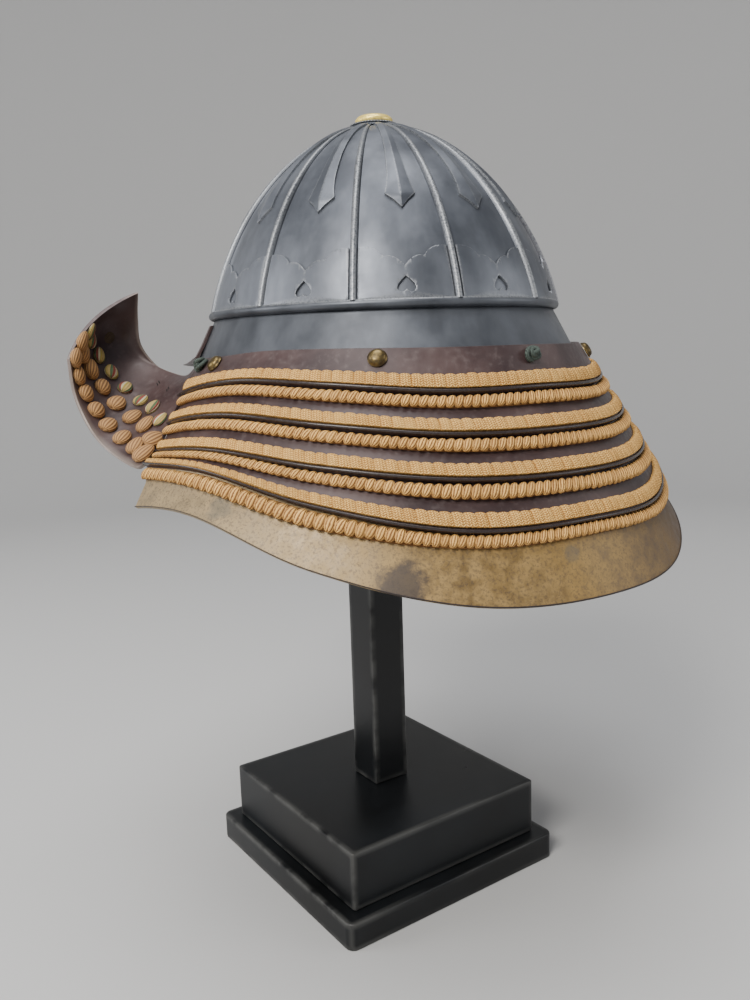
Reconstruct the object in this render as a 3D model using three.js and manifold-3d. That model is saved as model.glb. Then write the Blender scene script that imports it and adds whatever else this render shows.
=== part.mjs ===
// Kabuto, a samurai helmet, on a plain wooden display stand.
// Millimetres, +Z up, -Y the wearer's front, +X the wearer's left.
// The origin is the middle of the stand's underside.
// The helmet's own pieces are placed from the middle of the bowl's rim, and an angle goes
// from the middle of the back (0 degrees) to the wearer's left (+90) or right (-90).
import * as THREE from 'three';
import Module from 'manifold-3d';
import { mergeVertices } from 'three/addons/utils/BufferGeometryUtils.js';

const wasm = await Module();
wasm.setup();

// ---------------------------------------------------------------- driving dimensions
const GAP = 0.3;

const PLINTH = { side: 172, height: 18 };
const BLOCK = { side: 152, height: 38 };
const POST = { side: 27, top: 472 };
const TIMBER_EDGE = 1.5;
const PAD = { radius: 34, shoulder: 24, rise: 9.5, shoulderRise: 15, top: 17, sides: 14 };

const HELMET_PLACE = new THREE.Vector3(-8, 4, 381);

// The bowl is a tall oval dome: its half widths shrink by shrink(z) above a foot under the rim.
const DOME = { foot: -21, rise: 136.8, side: 109, back: 122.5, fullness: 1.68, shoulder: 1.85 };
const PLATES = 12;
const PLATE_WALL = 2;
const PLATE_COLUMNS = [1 / 3, 2 / 3];
const PLATE_HEIGHTS = [3.4, 19, 37, 55, 72, 88, 101, 109, 114.2];
const RIB = { width: 4.2, crownShare: 0.35, height: 3, topHeight: 0.5, slope: 0.9 };
const RIM_ROLL = { side: 106.2, back: 119.4, radius: 2.8, sides: 6 };

// Low plates round the bowl's foot. A plate's top line has a cusp at each side, a notch at
// inner, and a dip in the middle, and a heart is pierced under it.
const FENCE = { wall: 1.2, lift: 0.5, foot: 4, side: 30, notch: 24.5, middle: 19.5, inner: 0.45 };
const FENCE_GAPS = { left: 0.9, right: 4.7 };
const HEART = { width: 11, height: 8.5, place: 9.5, notch: 1.8 };

const BLADE_LIFT = 0.55;
const BLADE_SECTIONS = [
  { height: 114.2, halfWidth: 2.4, keel: 1.2 },
  { height: 109, halfWidth: 2.6, keel: 1.6 },
  { height: 101, halfWidth: 3, keel: 1.8 },
  { height: 88, halfWidth: 3.8, keel: 2 },
  { height: 72, halfWidth: 5.6, keel: 2.2 },
  { height: 59, halfWidth: 8.4, keel: 2.2 },
  { height: 52, halfWidth: 0.5, keel: 1 },
];
const HUB = { radius: 15.2, bottom: 115, top: 115.9 };
const CROWN_SIDES = 16;
const COLLAR = { radius: 15.8, bottom: 116.2, height: 2.3 };
const BUTTON = { radius: 12, height: 3.8 };

const WAISTBAND = { topSide: 105.4, topBack: 118.4, top: -3.8, footSide: 118, footBack: 134, foot: -30 };
const WAISTBAND_WALL = 2;

// The peak: how far it reaches out and how low its edge lies, by the angle from the front.
const PEAK_SECTIONS = [
  { fromFront: 0, reach: 41, edge: -33.5 },
  { fromFront: 18, reach: 37, edge: -33 },
  { fromFront: 36, reach: 22, edge: -31 },
  { fromFront: 54, reach: 3, edge: -29 },
  { fromFront: 70, reach: 1, edge: -26 },
];
const PEAK = { top: -6, bend: -17, wall: 1.8, lip: 1.5, gap: 0.4 };

// The neck guard hangs in rings. Each ring has its half widths, the angle at which it ends
// beside the face, and how far it lies under the bowl's rim at set angles from the back.
const DROP_ANGLES = [0, 25, 50, 70, 85, 104];
const RINGS = [
  { side: 119.5, back: 135.5, end: 101, drops: [24, 24, 23, 23, 25, 26.5] }, // top edge
  { side: 136.5, back: 148.5, end: 98, drops: [47, 47, 42, 39, 42, 50] }, // rim of lame 1
  { side: 148.5, back: 162, end: 95, drops: [69, 68, 62, 57, 59.5, 68] }, // rim of lame 2
  { side: 160, back: 175, end: 92, drops: [91, 89.5, 82, 75, 76.5, 84] }, // rim of lame 3
  { side: 171, back: 186.5, end: 89, drops: [114, 113.5, 99.5, 84, 83, 88] }, // rim of lame 4
  { side: 172.5, back: 189.5, end: 88, drops: [122, 122.5, 112, 96, 93, 104] }, // rope's foot
  { side: 181, back: 200, end: 87, drops: [150.5, 147, 128, 105, 105, 119] }, // bottom edge
];
const LAMES = 5;
const TOP_LAME_REACH = 1.03;
const LAME_WALL = 1.8;
const LACING_GAP = 0.8;
const RING_STEPS = 36;
const LAME_STEPS = 22;
const RIM_BAND = 0.11;

// The wings turn back from the ends of the top lame. Each section runs from the upper edge
// through the middle to the lower edge: how far out, forward and above the bowl's rim.
const WING_SECTIONS = [
  { top: [117, -48, -37], middle: [138, -40, -53], low: [171, -6, -87] },
  { top: [118, -68, -36], middle: [138, -66, -48], low: [176, -22, -82] },
  { top: [124, -86, -29], middle: [145, -86, -36], low: [181, -38, -73] },
  { top: [130, -93, -16], middle: [155, -92, -20], low: [185, -49, -60] },
  { top: [132, -90, 0], middle: [163, -86, -6], low: [188, -56, -44] },
  { top: [134, -82, 17], middle: [166, -74, 0], low: [189, -58, -24] },
];
const WING_START = 1.008;
const WING_WALL = 1.9;
const WING_COLUMNS = 5;

// Rows of lacing tufts on a wing: the place across it, from the upper edge (0) to the lower
// edge (1), the first and last section, and how many there are.
const TUFT_ROWS = [
  { across: 0.9, first: 0.6, last: 5.7, count: 8 },
  { across: 0.75, first: 0.5, last: 5.8, count: 8 },
  { across: 0.6, first: 0.6, last: 5.6, count: 8 },
];
const TUFT = { lift: 2, height: 4, waistHeight: 1.4, halfWidth: 0.062, waist: 0.02 };
const TUFT_TIE = { section: 3, halfWidth: 0.12, height: 1 };

// Fittings on the plain band of the top lame. part is the place down its face.
const RIVET = { radius: 5.2, height: 3.6, sides: 8, part: 0.28, angles: [-88, -40, 40, 88] };
const KNOT = { radius: 5.4, wide: 1.15, high: 0.85, deep: 0.5, part: 0.26, angles: [-96, 0, 96] };

// ---------------------------------------------------------------- finishes
const finish = (color, roughness, metalness) =>
  new THREE.MeshStandardMaterial({ color, roughness, metalness });
const FINISHES = {
  blackWood: finish(0x17191b, 0.5, 0),
  ironPlate: finish(0x3d4248, 0.45, 0.6),
  brownLacquer: finish(0x33262a, 0.45, 0.1),
  wornGold: finish(0x7d6537, 0.6, 0.3),
  strawLacing: finish(0xb9975a, 0.9, 0),
  tanLacing: finish(0xa87a45, 0.9, 0),
  gilt: finish(0xd6bf6a, 0.4, 0.7),
  darkBrass: finish(0x6d6238, 0.4, 0.8),
  greenCord: finish(0x2f3f3a, 0.9, 0),
};

// ---------------------------------------------------------------- helpers
const radians = THREE.MathUtils.degToRad;
const mix = THREE.MathUtils.lerp;

function ovalPoint(side, back, angle, z) {
  const a = radians(angle);
  return new THREE.Vector3(side * Math.sin(a), back * Math.cos(a), z);
}

// A smooth line through values at rising knots, level at the first one.
function smoothValue(knots, values, x) {
  const last = knots.length - 1;
  const at = Math.min(x, knots[last]);
  const i = Math.max(knots.findIndex((knot) => knot >= at), 1);
  const slope = (k) => {
    if (k === 0) return 0;
    const next = Math.min(k + 1, last);
    return (values[next] - values[k - 1]) / (knots[next] - knots[k - 1]);
  };
  const span = knots[i] - knots[i - 1];
  const t = (at - knots[i - 1]) / span;
  const startPull = slope(i - 1) * span;
  const endPull = slope(i) * span;
  const rise = values[i] - values[i - 1];
  const square = 3 * rise - 2 * startPull - endPull;
  const cube = startPull + endPull - 2 * rise;
  return values[i - 1] + t * startPull + t ** 2 * square + t ** 3 * cube;
}

// A closed solid through sections that each go once round the piece with the same number of
// points. closed joins the last section to the first, otherwise both ends get a flat cap.
function loft(sections, closed = false) {
  const n = sections[0].length;
  const m = sections.length;
  const index = [];
  for (let i = 0; i < (closed ? m : m - 1); i++) {
    const next = (i + 1) % m;
    for (let j = 0; j < n; j++) {
      const k = (j + 1) % n;
      index.push(i * n + j, next * n + j, next * n + k);
      index.push(i * n + j, next * n + k, i * n + k);
    }
  }
  if (!closed) {
    for (const [a, b, c] of capTriangles(sections[0])) index.push(a, b, c);
    const end = (m - 1) * n;
    for (const [a, b, c] of capTriangles(sections[m - 1])) index.push(end + c, end + b, end + a);
  }
  const geometry = new THREE.BufferGeometry();
  const places = sections.flat().flatMap((p) => [p.x, p.y, p.z]);
  geometry.setAttribute('position', new THREE.Float32BufferAttribute(places, 3));
  geometry.setIndex(index);
  return facingOut(geometry);
}

// A flat-ish section's own plane gives the outline that its cap is cut from.
function capTriangles(points) {
  const normal = new THREE.Vector3();
  points.forEach((p, i) => {
    const next = points[(i + 1) % points.length];
    normal.add(new THREE.Vector3().crossVectors(p, next));
  });
  const u = new THREE.Vector3().subVectors(points[1], points[0]).normalize();
  const v = new THREE.Vector3().crossVectors(normal, u).normalize();
  const flat = points.map((p) => new THREE.Vector2(p.dot(u), p.dot(v)));
  const triangles = THREE.ShapeUtils.triangulateShape(flat, []);
  const [a, b, c] = triangles[0].map((i) => flat[i]);
  const turn = b.clone().sub(a).cross(c.clone().sub(a));
  return turn > 0 ? triangles : triangles.map(([p, q, r]) => [p, r, q]);
}

function signedVolume(geometry) {
  const at = geometry.attributes.position;
  const ids = geometry.index.array;
  const corner = (i) => new THREE.Vector3().fromBufferAttribute(at, ids[i]);
  let volume = 0;
  for (let i = 0; i < ids.length; i += 3) volume += corner(i).dot(corner(i + 1).cross(corner(i + 2)));
  return volume / 6;
}

function facingOut(geometry) {
  if (signedVolume(geometry) > 0) return geometry;
  const ids = geometry.index.array;
  for (let i = 0; i < ids.length; i += 3) [ids[i + 1], ids[i + 2]] = [ids[i + 2], ids[i + 1]];
  return geometry;
}

function toSolid(geometry) {
  const bare = geometry.clone();
  bare.deleteAttribute('normal');
  bare.deleteAttribute('uv');
  const merged = mergeVertices(bare, 1e-4);
  return new wasm.Manifold(new wasm.Mesh({
    numProp: 3,
    vertProperties: merged.attributes.position.array,
    triVerts: new Uint32Array(merged.index.array),
  }));
}

function fromSolid(solid) {
  const mesh = solid.getMesh();
  const geometry = new THREE.BufferGeometry();
  geometry.setAttribute('position', new THREE.BufferAttribute(mesh.vertProperties, 3));
  geometry.setIndex(new THREE.BufferAttribute(mesh.triVerts, 1));
  return geometry;
}

const joined = (geometries) => fromSolid(geometries.map(toSolid).reduce((a, b) => a.add(b)));

const kabuto = new THREE.Group();
const helmet = new THREE.Group();
helmet.position.copy(HELMET_PLACE);
kabuto.add(helmet);

function add(group, name, geometry, material) {
  const mesh = new THREE.Mesh(geometry, material);
  mesh.name = name;
  group.add(mesh);
  return mesh;
}

// ---------------------------------------------------------------- display stand
function timber(side, height) {
  const half = side / 2 - TIMBER_EDGE;
  const square = new THREE.Shape([
    new THREE.Vector2(-half, -half),
    new THREE.Vector2(half, -half),
    new THREE.Vector2(half, half),
    new THREE.Vector2(-half, half),
  ]);
  const geometry = new THREE.ExtrudeGeometry(square, {
    depth: height - 2 * TIMBER_EDGE,
    bevelThickness: TIMBER_EDGE,
    bevelSize: TIMBER_EDGE,
    bevelSegments: 1,
  });
  return geometry.translate(0, 0, TIMBER_EDGE);
}

function lathe(profile, sides) {
  const points = profile.map(([r, z]) => new THREE.Vector2(r, z));
  return new THREE.LatheGeometry(points, sides).rotateX(Math.PI / 2);
}

function addStand() {
  const blockFoot = PLINTH.height + GAP;
  const postFoot = blockFoot + BLOCK.height + GAP;
  const padFoot = POST.top + GAP;
  add(kabuto, 'stand_plinth', timber(PLINTH.side, PLINTH.height), FINISHES.blackWood);
  const block = add(kabuto, 'stand_block', timber(BLOCK.side, BLOCK.height), FINISHES.blackWood);
  block.position.z = blockFoot;
  const post = add(kabuto, 'stand_post', timber(POST.side, POST.top - postFoot), FINISHES.blackWood);
  post.position.z = postFoot;
  const profile = [
    [0, 0],
    [PAD.radius, 0],
    [PAD.radius, PAD.rise],
    [PAD.shoulder, PAD.shoulderRise],
    [0, PAD.top],
  ];
  const pad = add(kabuto, 'stand_pad', lathe(profile, PAD.sides), FINISHES.blackWood);
  pad.position.set(HELMET_PLACE.x, HELMET_PLACE.y, padFoot);
}

// ---------------------------------------------------------------- the bowl
function shrink(z) {
  const rise = Math.min((z - DOME.foot) / DOME.rise, 0.99999);
  return (1 - rise ** DOME.fullness) ** (1 / DOME.shoulder);
}

// A point on the dome: an angle, a height, a shift along the ring and a lift off the surface.
function domePoint(angle, z, shift = 0, lift = 0) {
  const wide = shrink(z);
  const a = radians(angle);
  const radius = Math.hypot(DOME.side * Math.cos(a), DOME.back * Math.sin(a)) * wide;
  const turned = angle + THREE.MathUtils.radToDeg(shift / radius);
  const point = ovalPoint(DOME.side * wide, DOME.back * wide, turned, z);
  if (lift === 0) return point;
  const beside = ovalPoint(DOME.side * wide, DOME.back * wide, turned + 0.5, z).sub(point);
  const lower = shrink(z - 0.2);
  const under = ovalPoint(DOME.side * lower, DOME.back * lower, turned, z - 0.2).sub(point);
  const normal = new THREE.Vector3().crossVectors(beside, under).normalize();
  if (normal.dot(point) < 0) normal.negate();
  return point.addScaledVector(normal, lift);
}

const PITCH = 360 / PLATES;
const ribAngle = (i) => PITCH / 2 + i * PITCH;

// One bowl plate: a curved wall with its right edge turned up into a standing rib.
function bowlPlate(start) {
  const top = PLATE_HEIGHTS.at(-1);
  const sections = PLATE_HEIGHTS.map((z) => {
    const share = z / top;
    const width = RIB.width * Math.min(1, RIB.crownShare + shrink(z));
    const height = mix(RIB.height, RIB.topHeight, share ** 3);
    const end = start + PITCH;
    const columns = PLATE_COLUMNS.map((part) => start + part * PITCH);
    return [
      domePoint(start, z, 0, 0),
      domePoint(start, z, RIB.slope, height),
      domePoint(start, z, width - RIB.slope, height),
      domePoint(start, z, width, 0),
      ...columns.map((angle) => domePoint(angle, z)),
      domePoint(end, z, -GAP),
      domePoint(end, z, -GAP, -PLATE_WALL),
      domePoint(start + PITCH / 2, z, 0, -PLATE_WALL),
      domePoint(start, z, 0, -PLATE_WALL),
    ];
  });
  return loft(sections);
}

// The heart stands on its notch, with its point up.
function heartPath() {
  const w = HEART.width / 2;
  const low = HEART.place - HEART.height / 2;
  const high = HEART.place + HEART.height / 2;
  const lobe = mix(low, high, 0.15);
  const flank = mix(low, high, 0.45);
  const heart = new THREE.Path();
  heart.moveTo(0, high);
  heart.quadraticCurveTo(-w * 1.1, flank, -w * 0.8, lobe);
  heart.quadraticCurveTo(-w * 0.4, low - HEART.notch, 0, low + HEART.notch);
  heart.quadraticCurveTo(w * 0.4, low - HEART.notch, w * 0.8, lobe);
  heart.quadraticCurveTo(w * 1.1, flank, 0, high);
  return heart;
}

function fenceOutline(halfWidth) {
  const { side, notch, middle, foot } = FENCE;
  const inner = halfWidth * FENCE.inner;
  const bulge = mix(inner, halfWidth, 0.3);
  const shape = new THREE.Shape();
  shape.moveTo(-halfWidth, -foot);
  shape.lineTo(halfWidth, -foot);
  shape.lineTo(halfWidth, side);
  shape.quadraticCurveTo(bulge, side + 1, inner, notch);
  shape.quadraticCurveTo(inner / 2, notch + 1.5, 0, middle);
  shape.quadraticCurveTo(-inner / 2, notch + 1.5, -inner, notch);
  shape.quadraticCurveTo(-bulge, side + 1, -halfWidth, side);
  shape.closePath();
  shape.holes.push(heartPath());
  return shape;
}

// A thin curved slab over one plate, cut to the outline by a straight cutter from outside.
function fencePlate(start) {
  const middle = start + PITCH / 2;
  const waist = PLATE_HEIGHTS[1];
  const heights = [FENCE.foot, waist, FENCE.side + 1];
  const sections = heights.map((z) => {
    const columns = PLATE_COLUMNS.map((part) => start + part * PITCH);
    const face = (lift) => [
      domePoint(start, z, FENCE_GAPS.right, lift),
      ...columns.map((angle) => domePoint(angle, z, 0, lift)),
      domePoint(start + PITCH, z, -FENCE_GAPS.left, lift),
    ];
    return [...face(FENCE.lift), ...face(FENCE.lift + FENCE.wall).reverse()];
  });
  const slab = loft(sections);
  const centre = domePoint(middle, HEART.place);
  const right = domePoint(start, HEART.place, RIB.width);
  const halfWidth = right.distanceTo(domePoint(start + PITCH, HEART.place)) / 2;
  const depth = FENCE.side;
  const cutter = new THREE.ExtrudeGeometry(fenceOutline(halfWidth), {
    depth,
    bevelEnabled: false,
    curveSegments: 2,
  });
  const out = domePoint(middle, HEART.place, 0, 1).sub(centre).setZ(0).normalize();
  const up = new THREE.Vector3(0, 0, 1);
  const across = new THREE.Vector3().crossVectors(up, out);
  const origin = centre.clone().addScaledVector(out, -depth / 2).setZ(0);
  cutter.applyMatrix4(new THREE.Matrix4().makeBasis(across, up, out).setPosition(origin));
  return fromSolid(toSolid(slab).intersect(toSolid(facingOut(mergeVertices(cutter)))));
}

// One keeled blade that runs down the middle of a plate from the crown.
function crownBlade(angle) {
  const sections = BLADE_SECTIONS.map(({ height, halfWidth, keel }) => [
    domePoint(angle, height, -halfWidth, BLADE_LIFT),
    domePoint(angle, height, 0, BLADE_LIFT + keel),
    domePoint(angle, height, halfWidth, BLADE_LIFT),
    domePoint(angle, height, 0, BLADE_LIFT),
  ]);
  return loft(sections);
}

function ovalRing(sectionAt) {
  return loft(Array.from({ length: RING_STEPS }, (_, i) => sectionAt((i * 360) / RING_STEPS)), true);
}

function addBowl() {
  for (let i = 0; i < PLATES; i++) {
    const number = String(i + 1).padStart(2, '0');
    add(helmet, `bowl_plate_${number}`, bowlPlate(ribAngle(i)), FINISHES.ironPlate);
    add(helmet, `fence_plate_${number}`, fencePlate(ribAngle(i)), FINISHES.ironPlate);
  }
  const blades = Array.from({ length: PLATES }, (_, i) => crownBlade(i * PITCH));
  const { radius, bottom, top } = HUB;
  const hub = lathe([[0, bottom], [radius, bottom], [radius, top], [0, top]], CROWN_SIDES);
  add(helmet, 'crown_blades', joined([hub, ...blades]), FINISHES.ironPlate);

  const roll = (angle) => Array.from({ length: RIM_ROLL.sides }, (_, j) => {
    const turn = (j * 2 * Math.PI) / RIM_ROLL.sides + Math.PI / RIM_ROLL.sides;
    const out = RIM_ROLL.radius * Math.cos(turn);
    return ovalPoint(RIM_ROLL.side + out, RIM_ROLL.back + out, angle, RIM_ROLL.radius * Math.sin(turn));
  });
  add(helmet, 'bowl_rim', ovalRing(roll), FINISHES.ironPlate);
}

function addCrown() {
  const { radius: r, bottom, height: h } = COLLAR;
  const collar = [[0, 0], [r - 0.8, 0], [r, 0.8], [r - 0.4, 1.9], [r - 2, h], [0, h]];
  add(helmet, 'crown_collar', lathe(collar, CROWN_SIDES), FINISHES.ironPlate).position.z = bottom;
  const { radius: b, height: k } = BUTTON;
  const button = [[0, 0], [b - 0.6, 0], [b, 1.2], [b - 0.6, k - 1.4], [b - 3, k - 0.3], [0, k]];
  const cap = add(helmet, 'crown_button', lathe(button, CROWN_SIDES), FINISHES.gilt);
  cap.position.z = bottom + h + GAP;
}

// ---------------------------------------------------------------- waistband and peak
function waistPoint(angle, z, out) {
  const { foot, top, footSide, topSide, footBack, topBack } = WAISTBAND;
  const share = (z - foot) / (top - foot);
  return ovalPoint(mix(footSide, topSide, share) + out, mix(footBack, topBack, share) + out, angle, z);
}

function addWaistband() {
  const { top, foot } = WAISTBAND;
  const section = (angle) => [
    waistPoint(angle, top, 0),
    waistPoint(angle, foot, 0),
    waistPoint(angle, foot, -WAISTBAND_WALL),
    waistPoint(angle, top, -WAISTBAND_WALL),
  ];
  add(helmet, 'waistband', ovalRing(section), FINISHES.brownLacquer);
}

function addPeak() {
  const knots = PEAK_SECTIONS.map((row) => row.fromFront);
  const reaches = PEAK_SECTIONS.map((row) => row.reach);
  const edges = PEAK_SECTIONS.map((row) => row.edge);
  const step = 360 / RING_STEPS;
  const steps = knots.at(-1) / step;
  const { top, bend, wall, gap } = PEAK;
  const sections = Array.from({ length: 2 * steps + 1 }, (_, i) => {
    const fromFront = (i - steps) * step;
    const angle = 180 + fromFront;
    const reach = smoothValue(knots, reaches, Math.abs(fromFront));
    const edge = smoothValue(knots, edges, Math.abs(fromFront));
    const lip = Math.min(PEAK.lip, reach / 2);
    return [
      waistPoint(angle, top, gap),
      waistPoint(angle, top, gap + wall),
      waistPoint(angle, bend, gap + wall + reach * 0.12),
      waistPoint(angle, edge, gap + wall + reach),
      waistPoint(angle, edge - lip, gap + wall + reach),
      waistPoint(angle, edge - lip, gap + reach),
      waistPoint(angle, bend - wall, gap + reach * 0.1),
    ];
  });
  add(helmet, 'peak', loft(sections), FINISHES.brownLacquer);
}

// ---------------------------------------------------------------- neck guard
const dropAt = (ring, angle) => smoothValue(DROP_ANGLES, ring.drops, Math.abs(angle));

// A point of the neck guard's outer line. row 2.4 lies 0.4 of the way from ring 2 to ring 3,
// and along goes from -1 at the right end to 1 at the left end.
function guardLine(row, along) {
  const i = THREE.MathUtils.clamp(Math.floor(row), 0, RINGS.length - 2);
  const at = (ring) => {
    const angle = along * ring.end;
    return ovalPoint(ring.side, ring.back, angle, -dropAt(ring, angle));
  };
  return at(RINGS[i]).lerp(at(RINGS[i + 1]), row - i);
}

function guardPoint(row, along, lift) {
  const step = 0.02;
  const down = guardLine(row + step, along).sub(guardLine(row - step, along));
  const beside = guardLine(row, along + step).sub(guardLine(row, along - step));
  const normal = new THREE.Vector3().crossVectors(beside, down).normalize();
  return guardLine(row, along).addScaledVector(normal, lift);
}

// A band of the neck guard, from one end to the other. pointsAt gives its section at a place.
function guardBand(pointsAt, reach = 1) {
  const sections = [];
  for (let i = 0; i <= LAME_STEPS; i++) {
    const along = reach * (2 * (i / LAME_STEPS) - 1);
    sections.push(pointsAt(along));
  }
  return loft(sections);
}

// Lifts off the outer line: a lame starts under the one above and ends in a raised rim.
const TUCKED = -3.9;
const FACE = -1.5;
const RIM_LIFT = 0.6;
const HIDDEN = { rows: 0.2, lift: TUCKED - 0.8 };

function lame(number, reach) {
  const hem = number === LAMES ? number + 1 : number;
  const inner = FACE - LAME_WALL;
  const rim = [[hem - RIM_BAND, FACE], [hem - RIM_BAND, RIM_LIFT], [hem, RIM_LIFT], [hem, inner]];
  const head = number - 1;
  const skirt = number === LAMES ? [[head + 1, FACE]] : [];
  const lining = number === LAMES ? [[head + 1, inner]] : [];
  const tucked = [
    [head - HIDDEN.rows, HIDDEN.lift],
    [head, TUCKED],
    ...skirt,
    ...rim,
    ...lining,
    [head, TUCKED - LAME_WALL],
    [head - HIDDEN.rows, HIDDEN.lift - LAME_WALL],
  ];
  const profile = number === 1 ? [[0, 0], ...rim, [0, -LAME_WALL]] : tucked;
  return guardBand((along) => profile.map(([row, lift]) => guardPoint(row, along, lift)), reach);
}

// A point over a lame's open face. part goes from 0, under the rim above, to 1, where its own
// rim or, on the last lame, its skirt begins.
function facePoint(number, part, along, lift) {
  const foot = number === LAMES ? number : number - RIM_BAND;
  const at = (place) => {
    const top = guardPoint(number - 1, place, number === 1 ? 0 : TUCKED);
    return [top, guardPoint(foot, place, FACE)];
  };
  const [top, bottom] = at(along);
  const [topBeside, bottomBeside] = at(along + 0.02);
  const beside = topBeside.lerp(bottomBeside, part).sub(top.clone().lerp(bottom, part));
  const normal = new THREE.Vector3().crossVectors(beside, bottom.clone().sub(top)).normalize();
  return top.lerp(bottom, part).addScaledVector(normal, lift);
}

// Rows of lacing: each section is a list of the place down the face and how proud it stands.
const FLAT_LACING = [[0.975, 0], [0.975, 2.3], [0.7, 2], [0.65, 0]];
const ROPE_LACING = [[0.53, 0], [0.48, 3.4], [0.29, 4.9], [0.16, 3], [0.13, 0]];
const LAST_ROPE_LACING = [[0.98, 0], [0.9, 3.4], [0.5, 4.9], [0.18, 3], [0.14, 0]];

function lacing(number, section) {
  const at = (along) => section.map(([part, proud]) => facePoint(number, part, along, LACING_GAP + proud));
  return guardBand(at);
}

// ---------------------------------------------------------------- wings
function sectionCurve({ top, middle, low }) {
  const [a, b, c] = [top, middle, low].map((p) => new THREE.Vector3(...p));
  const pull = b.clone().multiplyScalar(2).sub(a.clone().add(c).multiplyScalar(0.5));
  return new THREE.QuadraticBezierCurve3(a, pull, c);
}

// Section 0 is the line on which the lames end, and the others come from the table.
function wingLine(section, across) {
  if (section === 0) {
    const row = across * (LAMES - 1);
    const middle = -LAME_WALL / 2;
    return guardPoint(row, WING_START, middle + FACE * Math.min(row, 1));
  }
  return sectionCurve(WING_SECTIONS[section - 1]).getPoint(across);
}

function wingCentre(section, across) {
  const i = Math.min(Math.floor(section), WING_SECTIONS.length - 1);
  return wingLine(i, across).lerp(wingLine(i + 1, across), section - i);
}

function wingPoint(section, across, lift) {
  const step = 0.04;
  const before = wingCentre(Math.max(section - step, 0), across);
  const along = wingCentre(Math.min(section + step, WING_SECTIONS.length), across).sub(before);
  const above = wingCentre(section, Math.max(across - step, 0));
  const over = wingCentre(section, Math.min(across + step, 1)).sub(above);
  const normal = new THREE.Vector3().crossVectors(along, over).normalize();
  return wingCentre(section, across).addScaledVector(normal, lift);
}

function leftWing() {
  const half = WING_WALL / 2;
  const columns = Array.from({ length: WING_COLUMNS }, (_, j) => j / (WING_COLUMNS - 1));
  const sections = Array.from({ length: WING_SECTIONS.length + 1 }, (_, i) => [
    ...columns.map((across) => wingPoint(i, across, half)),
    ...columns.toReversed().map((across) => wingPoint(i, across, -half)),
  ]);
  return loft(sections);
}

function mirrored(geometry) {
  return facingOut(geometry.clone().scale(-1, 1, 1));
}

// A row of tufts on one strand: wide and high at each tuft, low and narrow between two.
function tuftRow({ across, first, last, count }) {
  const steps = 2 * count;
  const sections = Array.from({ length: steps + 1 }, (_, i) => {
    const section = mix(first, last, i / steps);
    const swollen = i % 2 === 1;
    const half = swollen ? TUFT.halfWidth : TUFT.waist;
    const height = swollen ? TUFT.height : TUFT.waistHeight;
    return [
      wingPoint(section, across - half, TUFT.lift),
      wingPoint(section, across + half, TUFT.lift),
      wingPoint(section, across + half * 0.5, TUFT.lift + height),
      wingPoint(section, across - half * 0.5, TUFT.lift + height),
    ];
  });
  return loft(sections);
}

// The rows are tied by a strand that runs across them.
function leftWingLacing() {
  const { section, halfWidth, height } = TUFT_TIE;
  const tie = loft(TUFT_ROWS.map(({ across }) => {
    return [
      wingPoint(section - halfWidth, across, TUFT.lift),
      wingPoint(section + halfWidth, across, TUFT.lift),
      wingPoint(section + halfWidth, across, TUFT.lift + height),
      wingPoint(section - halfWidth, across, TUFT.lift + height),
    ];
  }));
  return joined([tie, ...TUFT_ROWS.map(tuftRow)]);
}

function addNeckGuard() {
  const wing = leftWing();
  const topLame = joined([lame(1, TOP_LAME_REACH), wing, mirrored(wing)]);
  add(helmet, 'lame_1_with_wings', topLame, FINISHES.brownLacquer);
  for (let number = 2; number <= LAMES; number++) {
    const material = number === LAMES ? FINISHES.wornGold : FINISHES.brownLacquer;
    add(helmet, `lame_${number}`, lame(number), material);
    const section = number === LAMES ? LAST_ROPE_LACING : ROPE_LACING;
    add(helmet, `flat_lacing_${number - 1}`, lacing(number - 1, FLAT_LACING), FINISHES.strawLacing);
    add(helmet, `rope_lacing_${number - 1}`, lacing(number, section), FINISHES.tanLacing);
  }
  const tufts = leftWingLacing();
  add(helmet, 'wing_lacing_left', tufts, FINISHES.tanLacing);
  add(helmet, 'wing_lacing_right', mirrored(tufts), FINISHES.tanLacing);
}

// ---------------------------------------------------------------- rivets and knots
// A small piece is set on the plain band of the top lame, facing out.
function onBand(geometry, angle, part) {
  const along = angle / RINGS[0].end;
  const seat = facePoint(1, part, along, GAP);
  const out = facePoint(1, part, along, 1).sub(facePoint(1, part, along, 0)).normalize();
  const turn = new THREE.Quaternion().setFromUnitVectors(new THREE.Vector3(0, 0, 1), out);
  return geometry.applyQuaternion(turn).translate(seat.x, seat.y, seat.z);
}

function addBandFittings() {
  const { radius: r, height: h, sides } = RIVET;
  RIVET.angles.forEach((angle, i) => {
    const dome = lathe([[0, 0], [r, 0], [r * 0.94, h * 0.4], [r * 0.6, h * 0.85], [0, h]], sides);
    add(helmet, `band_rivet_${i + 1}`, onBand(dome, angle, RIVET.part), FINISHES.darkBrass);
  });
  KNOT.angles.forEach((angle, i) => {
    const knot = new THREE.IcosahedronGeometry(KNOT.radius, 1);
    knot.scale(KNOT.wide, KNOT.high, KNOT.deep).translate(0, 0, KNOT.radius * KNOT.deep);
    add(helmet, `cord_knot_${i + 1}`, onBand(knot, angle, KNOT.part), FINISHES.greenCord);
  });
}

addStand();
addBowl();
addCrown();
addWaistband();
addPeak();
addNeckGuard();
addBandFittings();

export default kabuto;
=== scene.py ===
# %% [markdown]
# # A kabuto on its display stand
# This lesson dresses a construction model of a samurai helmet: a bowl of iron plates, a peak,
# a neck guard of laced lames with wings turned back at the brow, and a black wooden stand.
# The construction model gives every size and place. Here each plate, cord and timber gets the
# fine shape and the finish of the real thing.

# %% Load the construction model
import math

import bmesh
import bpy
import numpy as np
from mathutils import Matrix, Vector


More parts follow.
